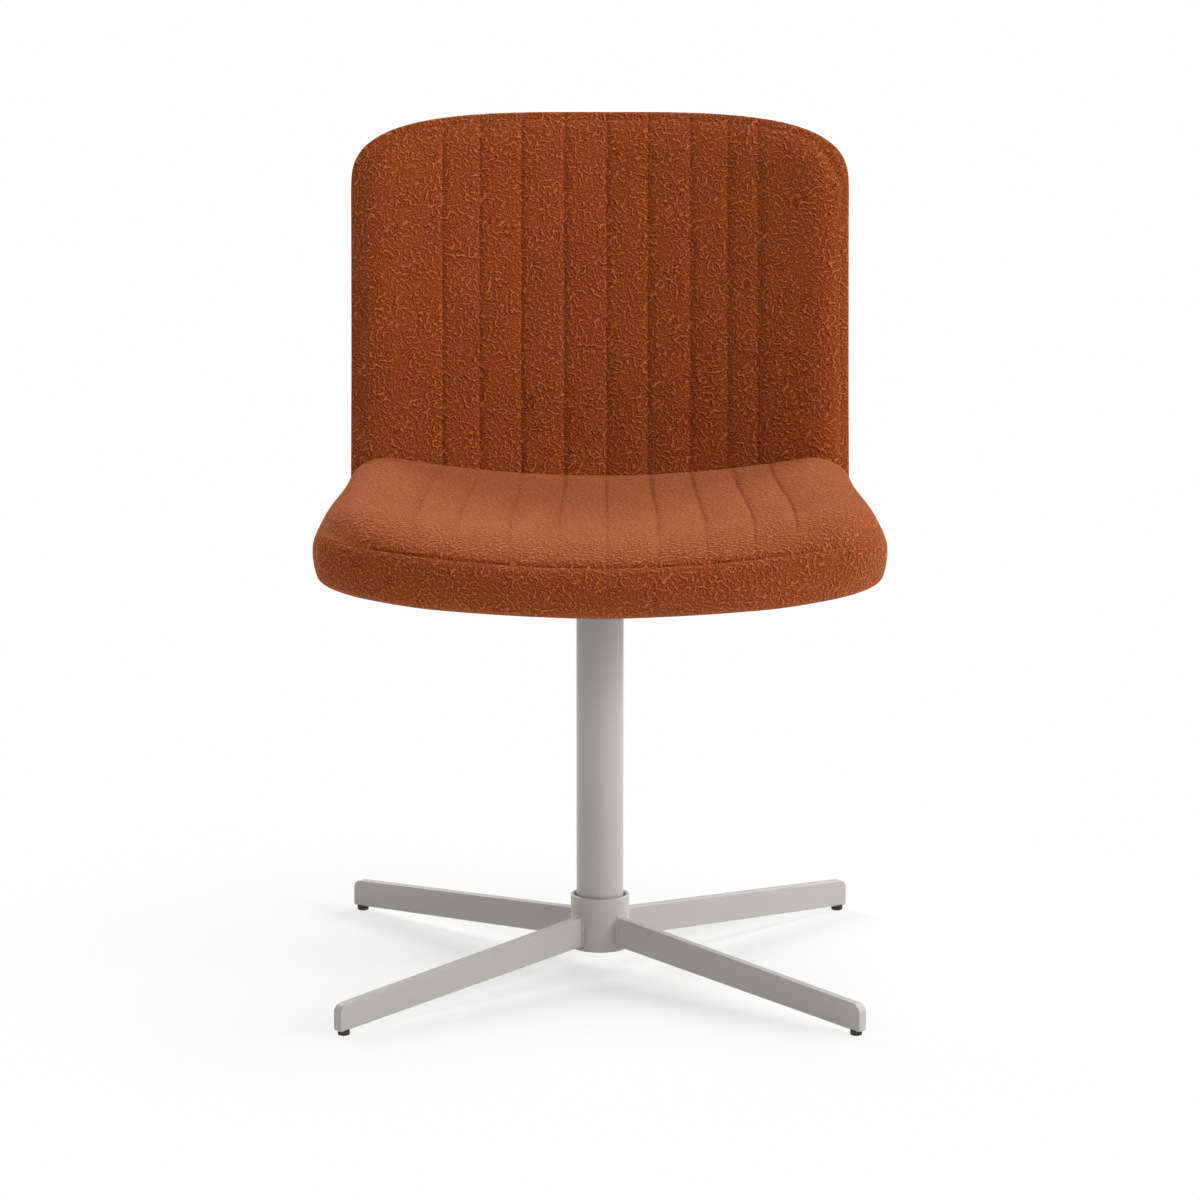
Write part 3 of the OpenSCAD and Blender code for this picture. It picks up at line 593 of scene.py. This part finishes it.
def edge_nearness(s, u, v):
    """Nearness to the sides, to the free end and to the root."""
    return (nearness(np.abs(u), 1 - s["side_run"] / s["wide"]),
            nearness(v, 1 - s["end_run"] / s["long"]),
            nearness(1 - v, 1 - s["side_run"] / s["long"]))


def rim_nearness(s, u, v):
    """Nearness to whichever edge is near."""
    side, end, root = edge_nearness(s, u, v)
    return np.minimum(1, np.sqrt(side ** 2 + end ** 2 + root ** 2))


def drop(t):
    """A rounded fall from zero to one."""
    return 1 - np.clip(1 - t * t, 0, 1) ** FALL_POWER


def face_height(s, u, v):
    """Height of the plain face, without its channels."""
    a, b = plan(s, u, v)
    side, end, root = edge_nearness(s, u, v)
    free = s["end_fall"] + (s["side_fall"] - s["end_fall"]) * u ** SIDE_POWER
    free = free * drop(np.minimum(1, np.hypot(side, end)))
    near_root = s["root_fall"] * drop(root)
    fall = (free ** BLEND_POWER + near_root ** BLEND_POWER) ** (1 / BLEND_POWER)
    dish = s["root_dish"] + (s["dish"] - s["root_dish"]) * v
    return s["high"] + dish * (a / s["wide"]) ** 2 - fall


print("seat face in the middle:", round(float(face_height(SEAT, 0.0, 0.5)), 4),
      "m over its board's foot")


# %% [markdown]
# ## From shares to a closed mesh
# The face is a grid of rows and columns. Its rim runs on as rings round the side, in under the pad
# and up into the pocket that holds the board, and the pocket's roof closes it. Columns stand close
# together at the seams and at the sides, where the shape turns fast, and wide apart between them,
# so the mesh stays light. The sides' profile is a smooth line through six points. Each says how far
# out, how far down and how far in under the pad it lies, as shares.

# %% The side's profile
SIDE_POINTS = np.array([[0, 0, 0], [0.66, 0.12, 0], [1, 0.34, 0], [0.78, 0.66, 0.04],
                        [0.36, 0.90, 0.22], [0, 1, 1]])
FINE_STEPS, COARSE_STEPS = 5, 2
FIRST_SHARE = 0.4


def smooth_line(points, steps):
    """Points on a smooth line through the given ones, that many for each stretch."""
    ends = np.vstack([2 * points[0] - points[1], points, 2 * points[-1] - points[-2]])
    made = []
    for i in range(len(points) - 1):
        p0, p1, p2, p3 = ends[i:i + 4]
        for t in np.arange(steps) / steps:
            made.append(0.5 * (2 * p1 + (p2 - p0) * t + (2 * p0 - 5 * p1 + 4 * p2 - p3) * t ** 2
                               + (3 * p1 - p0 - 3 * p2 + p3) * t ** 3))
    made.insert(1, made[0] * (1 - FIRST_SHARE) + made[1] * FIRST_SHARE)
    return np.array(made + [points[-1]])


print("profile of a side:", len(smooth_line(SIDE_POINTS, FINE_STEPS)), "points on the fine mesh,",
      len(smooth_line(SIDE_POINTS, COARSE_STEPS)), "on the coarse one")

# %% Columns and rows
RIM_SHARES = [0.955, 0.965, 0.975, 0.982, 0.988, 0.993, 0.9965, 0.9985, 1]
EVEN_UP_TO = 0.95
END_ROWS = [0, 0.0012, 0.0026, 0.0045, 0.008, 0.013, 0.020, 0.028]


def spaced(low, high, step):
    """Shares from low to high, evenly, no further apart than the step."""
    return list(np.linspace(low, high, max(2, int(math.ceil((high - low) / step)) + 1)))


def rounded(shares):
    """Shares to five digits, so that no place is kept twice."""
    return np.round(shares, 5)


def columns_with_seams(s, seams, beside, step):
    """Columns across a pad: at each seam, at the given distances beside it, and evenly between."""
    near = sorted({0.0, *beside, *(-x for x in beside)})
    found = set(rounded([m + x / s["wide"] for m in seams or BACK_SEAMS for x in near]))
    fixed = sorted(found)
    for low, high in zip(fixed[:-1], fixed[1:]):
        found.update(rounded(spaced(low, high, step / s["wide"])))
    for sign in (-1, 1):
        start = max(sign * x for x in fixed)
        found.update(rounded([sign * x for x in spaced(start, EVEN_UP_TO, step / s["wide"])]))
        found.update(rounded([sign * x for x in RIM_SHARES]))
    return np.array(sorted(found))


def row_shares(step):
    """Rows along a pad, close together at both ends."""
    inner = spaced(END_ROWS[-1], 1 - END_ROWS[-1], step)
    ends = END_ROWS + [1 - x for x in END_ROWS]
    return np.array(sorted({*rounded(ends), *rounded(inner)}))


# %% [markdown]
# The rim of the grid is walked once round, and each ring has one point for each step of that walk.
# A ring stands out by its share of the pad's own bulge. The lowest rings follow the bent underside,
# which hangs down in a lip at the middle of the seat's front.

# %% Walk round the rim
ROOT_CORNER_POWER, FREE_CORNER_POWER = 8, 4
LIP_NARROWING, LIP_POWER = 1.2, 1.2
LIP_START, LIP_RUN = 0.15, 0.25
CORNER_START, CORNER_RUN = 0.19, 0.06


def rim_walk(n, m):
    """Column and row of each point round the face's rim, starting at the root's left end."""
    return ([(i, 0) for i in range(n)] + [(n, j) for j in range(m)]
            + [(i, m) for i in range(n, 0, -1)] + [(0, j) for j in range(m, 0, -1)])


def outward_of(rim):
    """Outward direction on the plan at each point of a closed rim."""
    d = np.roll(rim, -1, axis=0) - np.roll(rim, 1, axis=0)
    return np.stack([d[:, 1], -d[:, 0]], 1) / np.linalg.norm(d, axis=1)[:, None]


def rim_bulge(s, u, v):
    """How far the side stands out from the rim of the face."""
    at_side = np.where(v > 0, 1, u ** ROOT_CORNER_POWER)
    root = s["root_bulge"] + (s["side_edge"] - s["root_bulge"]) * at_side
    free = s["side_edge"] + (s["end_edge"] - s["side_edge"]) * (1 - u ** FREE_CORNER_POWER)
    return np.where(v < 0.5, root, free)


def hang(s, p):
    """How far the lower edge hangs below the bent underside at places p on the plan."""
    across = np.minimum(1, np.abs(p[:, 0]) / s["root"] * LIP_NARROWING)
    lip = s["lip"] * (1 - across ** LIP_POWER)
    lip = lip * np.clip((p[:, 1] / s["long"] - LIP_START) / LIP_RUN, 0, 1)
    outer = np.clip((np.abs(p[:, 0]) - CORNER_START) / CORNER_RUN, 0, 1)
    return lip + s.get("corner", 0) * outer


# %% Points of a pad
def pad_points(s, cols, rows, profile):
    """Points of a pad's face, of its rings, and the flat place of each for the cloth."""
    u, v = np.meshgrid(cols, rows)
    a, b = plan(s, u, v)
    face = np.stack([a, b, face_height(s, u, v)], -1).reshape(-1, 3)
    walk = rim_walk(len(cols) - 1, len(rows) - 1)
    ru, rv = np.array([cols[i] for i, j in walk]), np.array([rows[j] for i, j in walk])
    rim = np.stack(plan(s, ru, rv), 1)
    out = outward_of(rim)
    top = face_height(s, ru, rv)
    rings = []
    for w in profile[1:]:
        p = rim + out * (w[0] * rim_bulge(s, ru, rv) - w[2] * s["under"])[:, None]
        rings.append(np.column_stack([p, top + (bend(s, p[:, 0]) - hang(s, p) - top) * w[1]]))
    mouth = rim - out * s["mouth"]
    floor_z = bend(s, mouth[:, 0])
    rings.append(np.column_stack([mouth, floor_z]))
    rings.append(np.column_stack([mouth, floor_z + s["pocket"]]))
    spread = [np.stack([a, b], -1).reshape(-1, 2)]
    walked = np.zeros(len(rim))
    for upper, lower in zip([np.column_stack([rim, top])] + rings[:-1], rings):
        walked = walked + np.linalg.norm(lower - upper, axis=1)
        spread.append(rim + out * walked[:, None])
    return face, rings, np.vstack(spread)


# %% Faces of a pad, as an object
def pad_faces(n, m, start, count, ring_count):
    """The faces of a pad of n by m fields: its face, its rings, and the roof of its pocket, whose
    two outer columns are one large face each."""
    faces = [(k, k + 1, k + n + 2, k + n + 1)
             for j in range(m) for k in range(j * (n + 1), j * (n + 1) + n)]
    loops = [[j * (n + 1) + i for i, j in rim_walk(n, m)]]
    loops += [list(range(start + k * count, start + (k + 1) * count)) for k in range(ring_count)]
    for upper, lower in zip(loops[:-1], loops[1:]):
        faces += [(upper[k], lower[k], lower[(k + 1) % count], upper[(k + 1) % count])
                  for k in range(count)]
    last = loops[-1]
    faces += [(last[i], last[2 * n + m - i], last[2 * n + m - i - 1], last[i + 1])
              for i in range(1, n - 1)]
    faces += [tuple([last[1]] + [last[k % count] for k in range(2 * n + m - 1, count + 1)])]
    faces += [tuple([last[n - 1]] + [last[k] for k in range(n, n + m + 2)])]
    return faces


def pad_object(name, s, place, cols, rows, profile):
    """A closed pad as a mesh object, its points turned into the chair's own frame."""
    face, rings, spread = pad_points(s, cols, rows, profile)
    faces = pad_faces(len(cols) - 1, len(rows) - 1, len(face), len(rings[0]), len(rings))
    mesh = bpy.data.meshes.new(name)
    mesh.from_pydata([tuple(place @ Vector(p)) for p in np.vstack([face] + rings)], [], faces)
    mesh.update()
    cloth_map = mesh.uv_layers.new(name="cloth")
    corners = np.array([corner.vertex_index for corner in mesh.loops])
    cloth_map.data.foreach_set("uv", spread[corners].ravel())
    pad = bpy.data.objects.new(name, mesh)
    bpy.context.collection.objects.link(pad)
    bm = bmesh.new()
    bm.from_mesh(mesh)
    bmesh.ops.recalc_face_normals(bm, faces=bm.faces)
    open_edges = sum(1 for e in bm.edges if len(e.link_faces) != 2)
    bm.to_mesh(mesh)
    bm.free()
    print(name, len(mesh.vertices), "points,", len(mesh.polygons), "faces,", open_edges,
          "open edges")
    return pad


# %% [markdown]
# ## Swelling by cloth simulation
# On the real chair the cover is sewn down at each seam and the foam presses it out between them.
# Pushing points about would only guess at that. Instead a coarse copy of the pad becomes cloth: its
# seams and its underside are pinned, pressure acts from within, and twenty frames later the
# channels have filled out. A point may move only so far, as foam would allow. The fine pad is then
# carried along by the coarse one through a Surface Deform modifier.

# %% Tools for one object at a time
def activate(piece):
    """Makes one object the only one selected, and the active one."""
    bpy.ops.object.select_all(action="DESELECT")
    piece.select_set(True)
    bpy.context.view_layer.objects.active = piece


def apply_all(piece):
    """Applies every modifier of a piece."""
    activate(piece)
    for modifier in list(piece.modifiers):
        bpy.ops.object.modifier_apply(modifier=modifier.name)


def read_points(mesh, what="co"):
    """A mesh's points as an array, or their normals."""
    found = np.zeros(len(mesh.vertices) * 3)
    mesh.vertices.foreach_get(what, found)
    return found.reshape(-1, 3)


def set_points(mesh, points):
    """Writes an array back to a mesh's points."""
    mesh.vertices.foreach_set("co", np.asarray(points, float).ravel())
    mesh.update()


# %% Simulate a coarse pad
LAST_FRAME = 20
FOAM_CLOTH = dict(quality=6, mass=0.4, tension_stiffness=25, compression_stiffness=25,
                  shear_stiffness=12, bending_stiffness=6, use_pressure=True,
                  uniform_pressure_force=4.0)
TINY = 1e-9


def swell(cage, pinned, cap):
    """Lets a coarse pad swell as cloth. Its pinned points stay, and no point moves past the cap."""
    rest = read_points(cage.data)
    group = cage.vertex_groups.new(name="sewn")
    group.add([int(k) for k in np.flatnonzero(pinned)], 1.0, "REPLACE")
    cloth = cage.modifiers.new("Cloth", "CLOTH")
    for key, value in FOAM_CLOTH.items():
        setattr(cloth.settings, key, value)
    cloth.settings.vertex_group_mass = group.name
    cloth.settings.effector_weights.gravity = 0
    cloth.collision_settings.use_collision = False
    cloth.point_cache.frame_start = 1
    cloth.point_cache.frame_end = LAST_FRAME
    for step in range(1, LAST_FRAME + 1):
        bpy.context.scene.frame_set(step)
    seen = cage.evaluated_get(bpy.context.evaluated_depsgraph_get())
    moved = read_points(seen.data) - rest
    cage.modifiers.remove(cloth)
    bpy.context.scene.frame_set(1)
    far = np.linalg.norm(moved, axis=1)
    print(cage.name, "swelled by up to", round(float(far.max()) * 1000, 2), "mm, capped at",
          cap * 1000)
    limit = np.minimum(1, cap / np.maximum(far, TINY))
    return rest + moved * limit[:, None]


# %% [markdown]
# The modifier that carries the fine pad refuses a coarse one with three points in a line, and says
# so only in the log. So the coarse pad is first unsettled by a hair, 0.04 mm. The same hair stays
# on it when it moves, so none of it reaches the fine pad.

# %% Carry a fine pad along
HAIR = 0.00004
HAIR_TURN = 2.4
RELAX_SHARE, RELAX_ROUNDS = 0.5, 4


def carry(fine, cage, swollen):
    """Binds a fine pad to a coarse one, moves the coarse one, and applies the change."""
    hair = HAIR * np.sin(HAIR_TURN * np.arange(swollen.size)).reshape(-1, 3)
    set_points(cage.data, read_points(cage.data) + hair)
    activate(cage)
    corners = cage.modifiers.new("Triangulate", "TRIANGULATE")
    bpy.ops.object.modifier_apply(modifier=corners.name)
    activate(fine)
    follow = fine.modifiers.new("Follow", "SURFACE_DEFORM")
    follow.target = cage
    bpy.ops.object.surfacedeform_bind(modifier=follow.name)
    print(fine.name, "bound to its coarse pad:", follow.is_bound)
    set_points(cage.data, swollen + hair)
    bpy.context.view_layer.update()
    apply_all(fine)
    relax = fine.modifiers.new("Relax", "SMOOTH")
    relax.factor = RELAX_SHARE
    relax.iterations = RELAX_ROUNDS
    apply_all(fine)
    bpy.data.objects.remove(cage)


# %% [markdown]
# ## Sewing the seams
# After the swelling the seams are sunk into the fine pad. A thread pulls the cover down in a narrow
# groove, and the foam on both sides gives way in a shoulder two or three millimetres wide. So each
# seam is the sum of two smooth dents across its line. It grows a little shallower towards the
# edges, and on the back it runs on over the rolled end. The seam that joins the face to the side
# band runs all round the rim in the same way, with a wider shoulder.

# %% Depth of a seam
THREAD_SHARE, THREAD_REACH = 0.25, 0.0011
SHOULDER_POWER = 1.3
LOOK_ROUND = 0.012
SPECK = 1e-12


def seam_dent(x, depth, reach):
    """Height change at a distance x across a seam whose sides fall over that reach, in metres."""
    return (-THREAD_SHARE * depth * np.exp(-(x / THREAD_REACH) ** 2)
            - depth * np.exp(-(np.abs(x) / reach) ** SHOULDER_POWER))


def distance_to_loop(points, loop):
    """Distance of each point to a closed line through the points of the loop."""
    nearest = np.full(len(points), 1.0)
    for start, end in zip(loop, np.roll(loop, -1, axis=0)):
        d = end - start
        box_low = np.minimum(start, end) - LOOK_ROUND
        box_high = np.maximum(start, end) + LOOK_ROUND
        close = np.flatnonzero(((points > box_low) & (points < box_high)).all(1))
        if len(close):
            t = np.clip((points[close] - start) @ d / max(d @ d, SPECK), 0, 1)
            gap = np.linalg.norm(points[close] - start - t[:, None] * d, axis=1)
            nearest[close] = np.minimum(nearest[close], gap)
    return nearest


print("a seam 1 mm deep is", round(-seam_dent(0.001, 0.001, 0.0027) * 1000, 2),
      "mm deep at 1 mm from its line")

# %% Sew a pad
SEAM_EASE = 0.3
OVER_RINGS, OVER_END, OVER_POWER = 11, 0.55, 1.5
RIM_REACH, RIM_THREAD = 0.0048, 0.0009


def sew(pad, s, cols, rows, seams, depth, reach, rim_depth, share_over):
    """Sinks the seams along the pad and the one round its rim. That share of them runs on over
    the free end."""
    points, normals = read_points(pad.data), read_points(pad.data, "normal")
    n, m = len(cols) - 1, len(rows) - 1
    u, v = np.meshgrid(cols, rows)
    a, b = plan(s, u, v)
    half = half_width(s, b) - s["side_edge"]
    lift = np.zeros(len(points))
    along = np.zeros(u.shape)
    for m_share in seams:
        along += seam_dent((u - m_share) * half, depth, reach)
    lift[:u.size] = (along * (1 - SEAM_EASE * rim_nearness(s, u, v) ** 2)).ravel()
    walk = rim_walk(n, m)
    over = np.array([along[j, i] if j == m else 0 for i, j in walk])
    for k, w in enumerate(smooth_line(SIDE_POINTS, FINE_STEPS)[1:OVER_RINGS + 1]):
        start = u.size + k * len(walk)
        lift[start:start + len(walk)] = share_over * over * (1 - w[1] / OVER_END) ** OVER_POWER
    beside = distance_to_loop(points, points[[j * (n + 1) + i for i, j in walk]])
    lift += seam_dent(beside, rim_depth, RIM_REACH)
    lift += -rim_depth * np.exp(-(beside / RIM_THREAD) ** 2)
    set_points(pad.data, points + normals * lift[:, None])
    print(pad.name, "sewn, deepest", round(float(lift.min()) * 1000, 2), "mm")


# %% [markdown]
# ## Making a pad from start to end
# Before the swelling each channel gets a low crown, because the cap on the swelling would leave it
# flat in the middle.

# %% Channels
CROWN_POWER = 2.4
CROWN_EASE = 0.7


def crown_of(cols, seams):
    """Share of a channel's crown at each column: one in its middle, zero at its seams."""
    found = np.zeros(len(cols))
    for low, high in zip(seams[:-1], seams[1:]):
        x = (cols - (low + high) / 2) / ((high - low) / 2)
        found = np.maximum(found, np.clip(1 - np.abs(x) ** CROWN_POWER, 0, 1))
    return found


def raise_channels(pad, s, cols, rows, seams, height):
    """Lifts each channel of a pad to its crown."""
    u, v = np.meshgrid(cols, rows)
    ease = 1 - CROWN_EASE * rim_nearness(s, u, v) ** 2
    lift = np.zeros(len(pad.data.vertices))
    lift[:u.size] = (crown_of(cols, seams)[None, :] * height * ease).ravel()
    normals = read_points(pad.data, "normal")
    set_points(pad.data, read_points(pad.data) + normals * lift[:, None])


print("crown halfway to a seam:", round(float(crown_of(np.array([0.5]), [-1, 1])[0]), 2))

# %% The coarse pad
CAGE_STEP = 0.0105
CAGE_ENDS, CAGE_ROW_STEP = 0.02, 0.028
PINNED_ROOT = 0.05
FREE_RINGS = 6
ON_SEAM = 1e-4
NO_SEAM = [9]


def swollen_cage(name, s, place, seams, cap):
    """A coarse pad, and its points after the swelling."""
    cols = columns_with_seams(s, seams, [], CAGE_STEP)
    rows = np.array([0, *spaced(CAGE_ENDS, 1 - CAGE_ENDS, CAGE_ROW_STEP), 1])
    cage = pad_object(name, s, place, cols, rows, smooth_line(SIDE_POINTS, COARSE_STEPS))
    u, v = np.meshgrid(cols, rows)
    pinned = np.zeros(len(cage.data.vertices), bool)
    on_seam = (np.abs(u[..., None] - np.array(seams or NO_SEAM)) < ON_SEAM).any(-1)
    pinned[:u.size] = (on_seam | (v < PINNED_ROOT)).ravel()
    pinned[u.size + FREE_RINGS * len(rim_walk(len(cols) - 1, len(rows) - 1)):] = True
    return cage, swell(cage, pinned, cap)


print("coarse columns stand up to", CAGE_STEP * 1000, "mm apart")

# %% One pad
FINE_BESIDE = [0.0007, 0.0014, 0.0023, 0.0036, 0.0052, 0.0075, 0.0105]
FINE_STEP, FINE_ROW_STEP = 0.006, 0.012


def make_pad(name, s, place, node, seams, crown, cap, sewing):
    """A pad that is swollen, sewn and dressed, in place of its solid. It has the crown of its
    channels, the cap on its swelling, and the sizes of its seams."""
    cols = columns_with_seams(s, seams, FINE_BESIDE if seams else [], FINE_STEP)
    rows = row_shares(FINE_ROW_STEP)
    pad = pad_object(name, s, place, cols, rows, smooth_line(SIDE_POINTS, FINE_STEPS))
    raise_channels(pad, s, cols, rows, seams, crown)
    carry(pad, *swollen_cage(name + "_cage", s, place, seams, cap))
    sew(pad, s, cols, rows, seams, **sewing)
    pad.data.materials.append(finishes["rust_fabric"])
    pad.data.shade_smooth()
    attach(pad, "seat")
    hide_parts(node)
    return pad


make_pad("seat_pad", SEAT, SEAT_PLACE, "seat_cushion", SEAT_SEAMS,
         crown=0.0004, cap=0.0007,
         sewing=dict(depth=0.0007, reach=0.0019, rim_depth=0.0009, share_over=0))

# %% [markdown]
# ## The pad of the back
# The back is upright and tightly upholstered, and its nine seams show as darker lines than those of
# the seat. The seat's seams could be used again at the same depth, but then the back would look
# smooth, so its seams are deeper and run on over its upper edge.

# %% The back pad
make_pad("back_pad", BACK, BACK_PLACE, "back_cushion", BACK_SEAMS,
         crown=0.0004, cap=0.0010,
         sewing=dict(depth=0.0019, reach=0.0027, rim_depth=0.0002, share_over=0.7))

# %% [markdown]
# ## The cover behind the back
# A plain pad of the same cloth closes the back. It is made like the others but has no channels. The
# two steel brackets go up inside it, so a slot is cut for each at its lower edge. A slot could be
# left out, because it is seen only from below, but then the steel would run through the cloth.

# %% The rear cover
rear_cover = make_pad("back_cover", COVER, COVER_PLACE, "back_rear_cover", [],
                      crown=0, cap=0.0010,
                      sewing=dict(depth=0, reach=0, rim_depth=0.0008, share_over=0))

# %% Slots for the brackets
SLOT_SIZE = (0.042, 0.008, 0.060)
SLOT_X, SLOT_Y, SLOT_Z = 0.125, 0.174, 0.4238
SLOT_TURN = math.radians(11.09)
SLOT_SHIFT = (0, 0.003, 0.010)
SHARP_EDGE = math.radians(50)
for side in (-1, 1):
    bpy.ops.object.select_all(action="DESELECT")
    bpy.ops.mesh.primitive_cube_add(size=1, location=(0, 0, 0))
    block = bpy.context.object
    block.data.transform(Matrix.Translation((side * SLOT_X, SLOT_Y, SLOT_Z))
                         @ Matrix.Rotation(-side * SLOT_TURN, 4, "Z")
                         @ Matrix.Rotation(-RECLINE, 4, "X") @ Matrix.Translation(SLOT_SHIFT)
                         @ Matrix.Diagonal((*SLOT_SIZE, 1)))
    cut = rear_cover.modifiers.new("Slot", "BOOLEAN")
    cut.operation = "DIFFERENCE"
    cut.object = block
    before = len(rear_cover.data.polygons)
    apply_all(rear_cover)
    bpy.data.objects.remove(block)
    print("slot cut:", before, "faces became", len(rear_cover.data.polygons))
activate(rear_cover)
bpy.ops.object.shade_smooth_by_angle(angle=SHARP_EDGE)


# %% [markdown]
# ## The weld beads
# Each leg is welded to the hub all round its end. The bead is small and painted over, and it rounds
# the inner corner between bar and tube. It starts as a circle whose points are moved to the edge of
# the bar on the hub's surface. Turned into a curve, it gets its thickness as a round line, and then
# it is a mesh again. The circle could be swept by hand, but the curve keeps it round and closed.

# %% One bead
HUB_R = 0.03015
BAR_HALF = 0.005
BAR_LOW, BAR_HIGH = 0.0308, 0.0613
BEAD_R = 0.0017
BEAD_POINTS = 72
BEAD_STEPS = 3
SQUARE_POWER = 0.28


def squared(x):
    """A sine or cosine pressed towards one and minus one, which turns a circle into a square."""
    return math.copysign(abs(x) ** SQUARE_POWER, x)


def bead_place(share):
    """A point on the bar's edge where it meets the hub, at a share of the way round."""
    turn = 2 * math.pi * share
    y = BAR_HALF * squared(math.cos(turn))
    z = (BAR_LOW + BAR_HIGH) / 2 + (BAR_HIGH - BAR_LOW) / 2 * squared(math.sin(turn))
    return Vector((math.sqrt(HUB_R ** 2 - y * y), y, z))


def make_bead(name, angle):
    """A weld bead round the root of the leg at that angle."""
    bpy.ops.object.select_all(action="DESELECT")
    bpy.ops.mesh.primitive_circle_add(vertices=BEAD_POINTS, radius=HUB_R, location=(0, 0, 0))
    bead = bpy.context.object
    turned = Matrix.Rotation(math.radians(angle), 4, "Z")
    for k, point in enumerate(bead.data.vertices):
        point.co = turned @ bead_place(k / BEAD_POINTS)
    bpy.ops.object.convert(target="CURVE")
    bead = bpy.context.object
    bead.data.bevel_depth = BEAD_R
    bead.data.bevel_resolution = BEAD_STEPS
    bpy.ops.object.convert(target="MESH")
    bead = bpy.context.object
    bead.name = name
    bead.data.materials.clear()
    bead.data.materials.append(finishes["painted_steel"])
    bead.data.shade_smooth()
    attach(bead, "base")
    return bead


LEG_ANGLES = {"front_left": 225, "front_right": 315, "rear_left": 135, "rear_right": 45}
for corner_name, angle in LEG_ANGLES.items():
    bead = make_bead("weld_" + corner_name, angle)
    print(bead.name, len(bead.data.polygons), "faces")
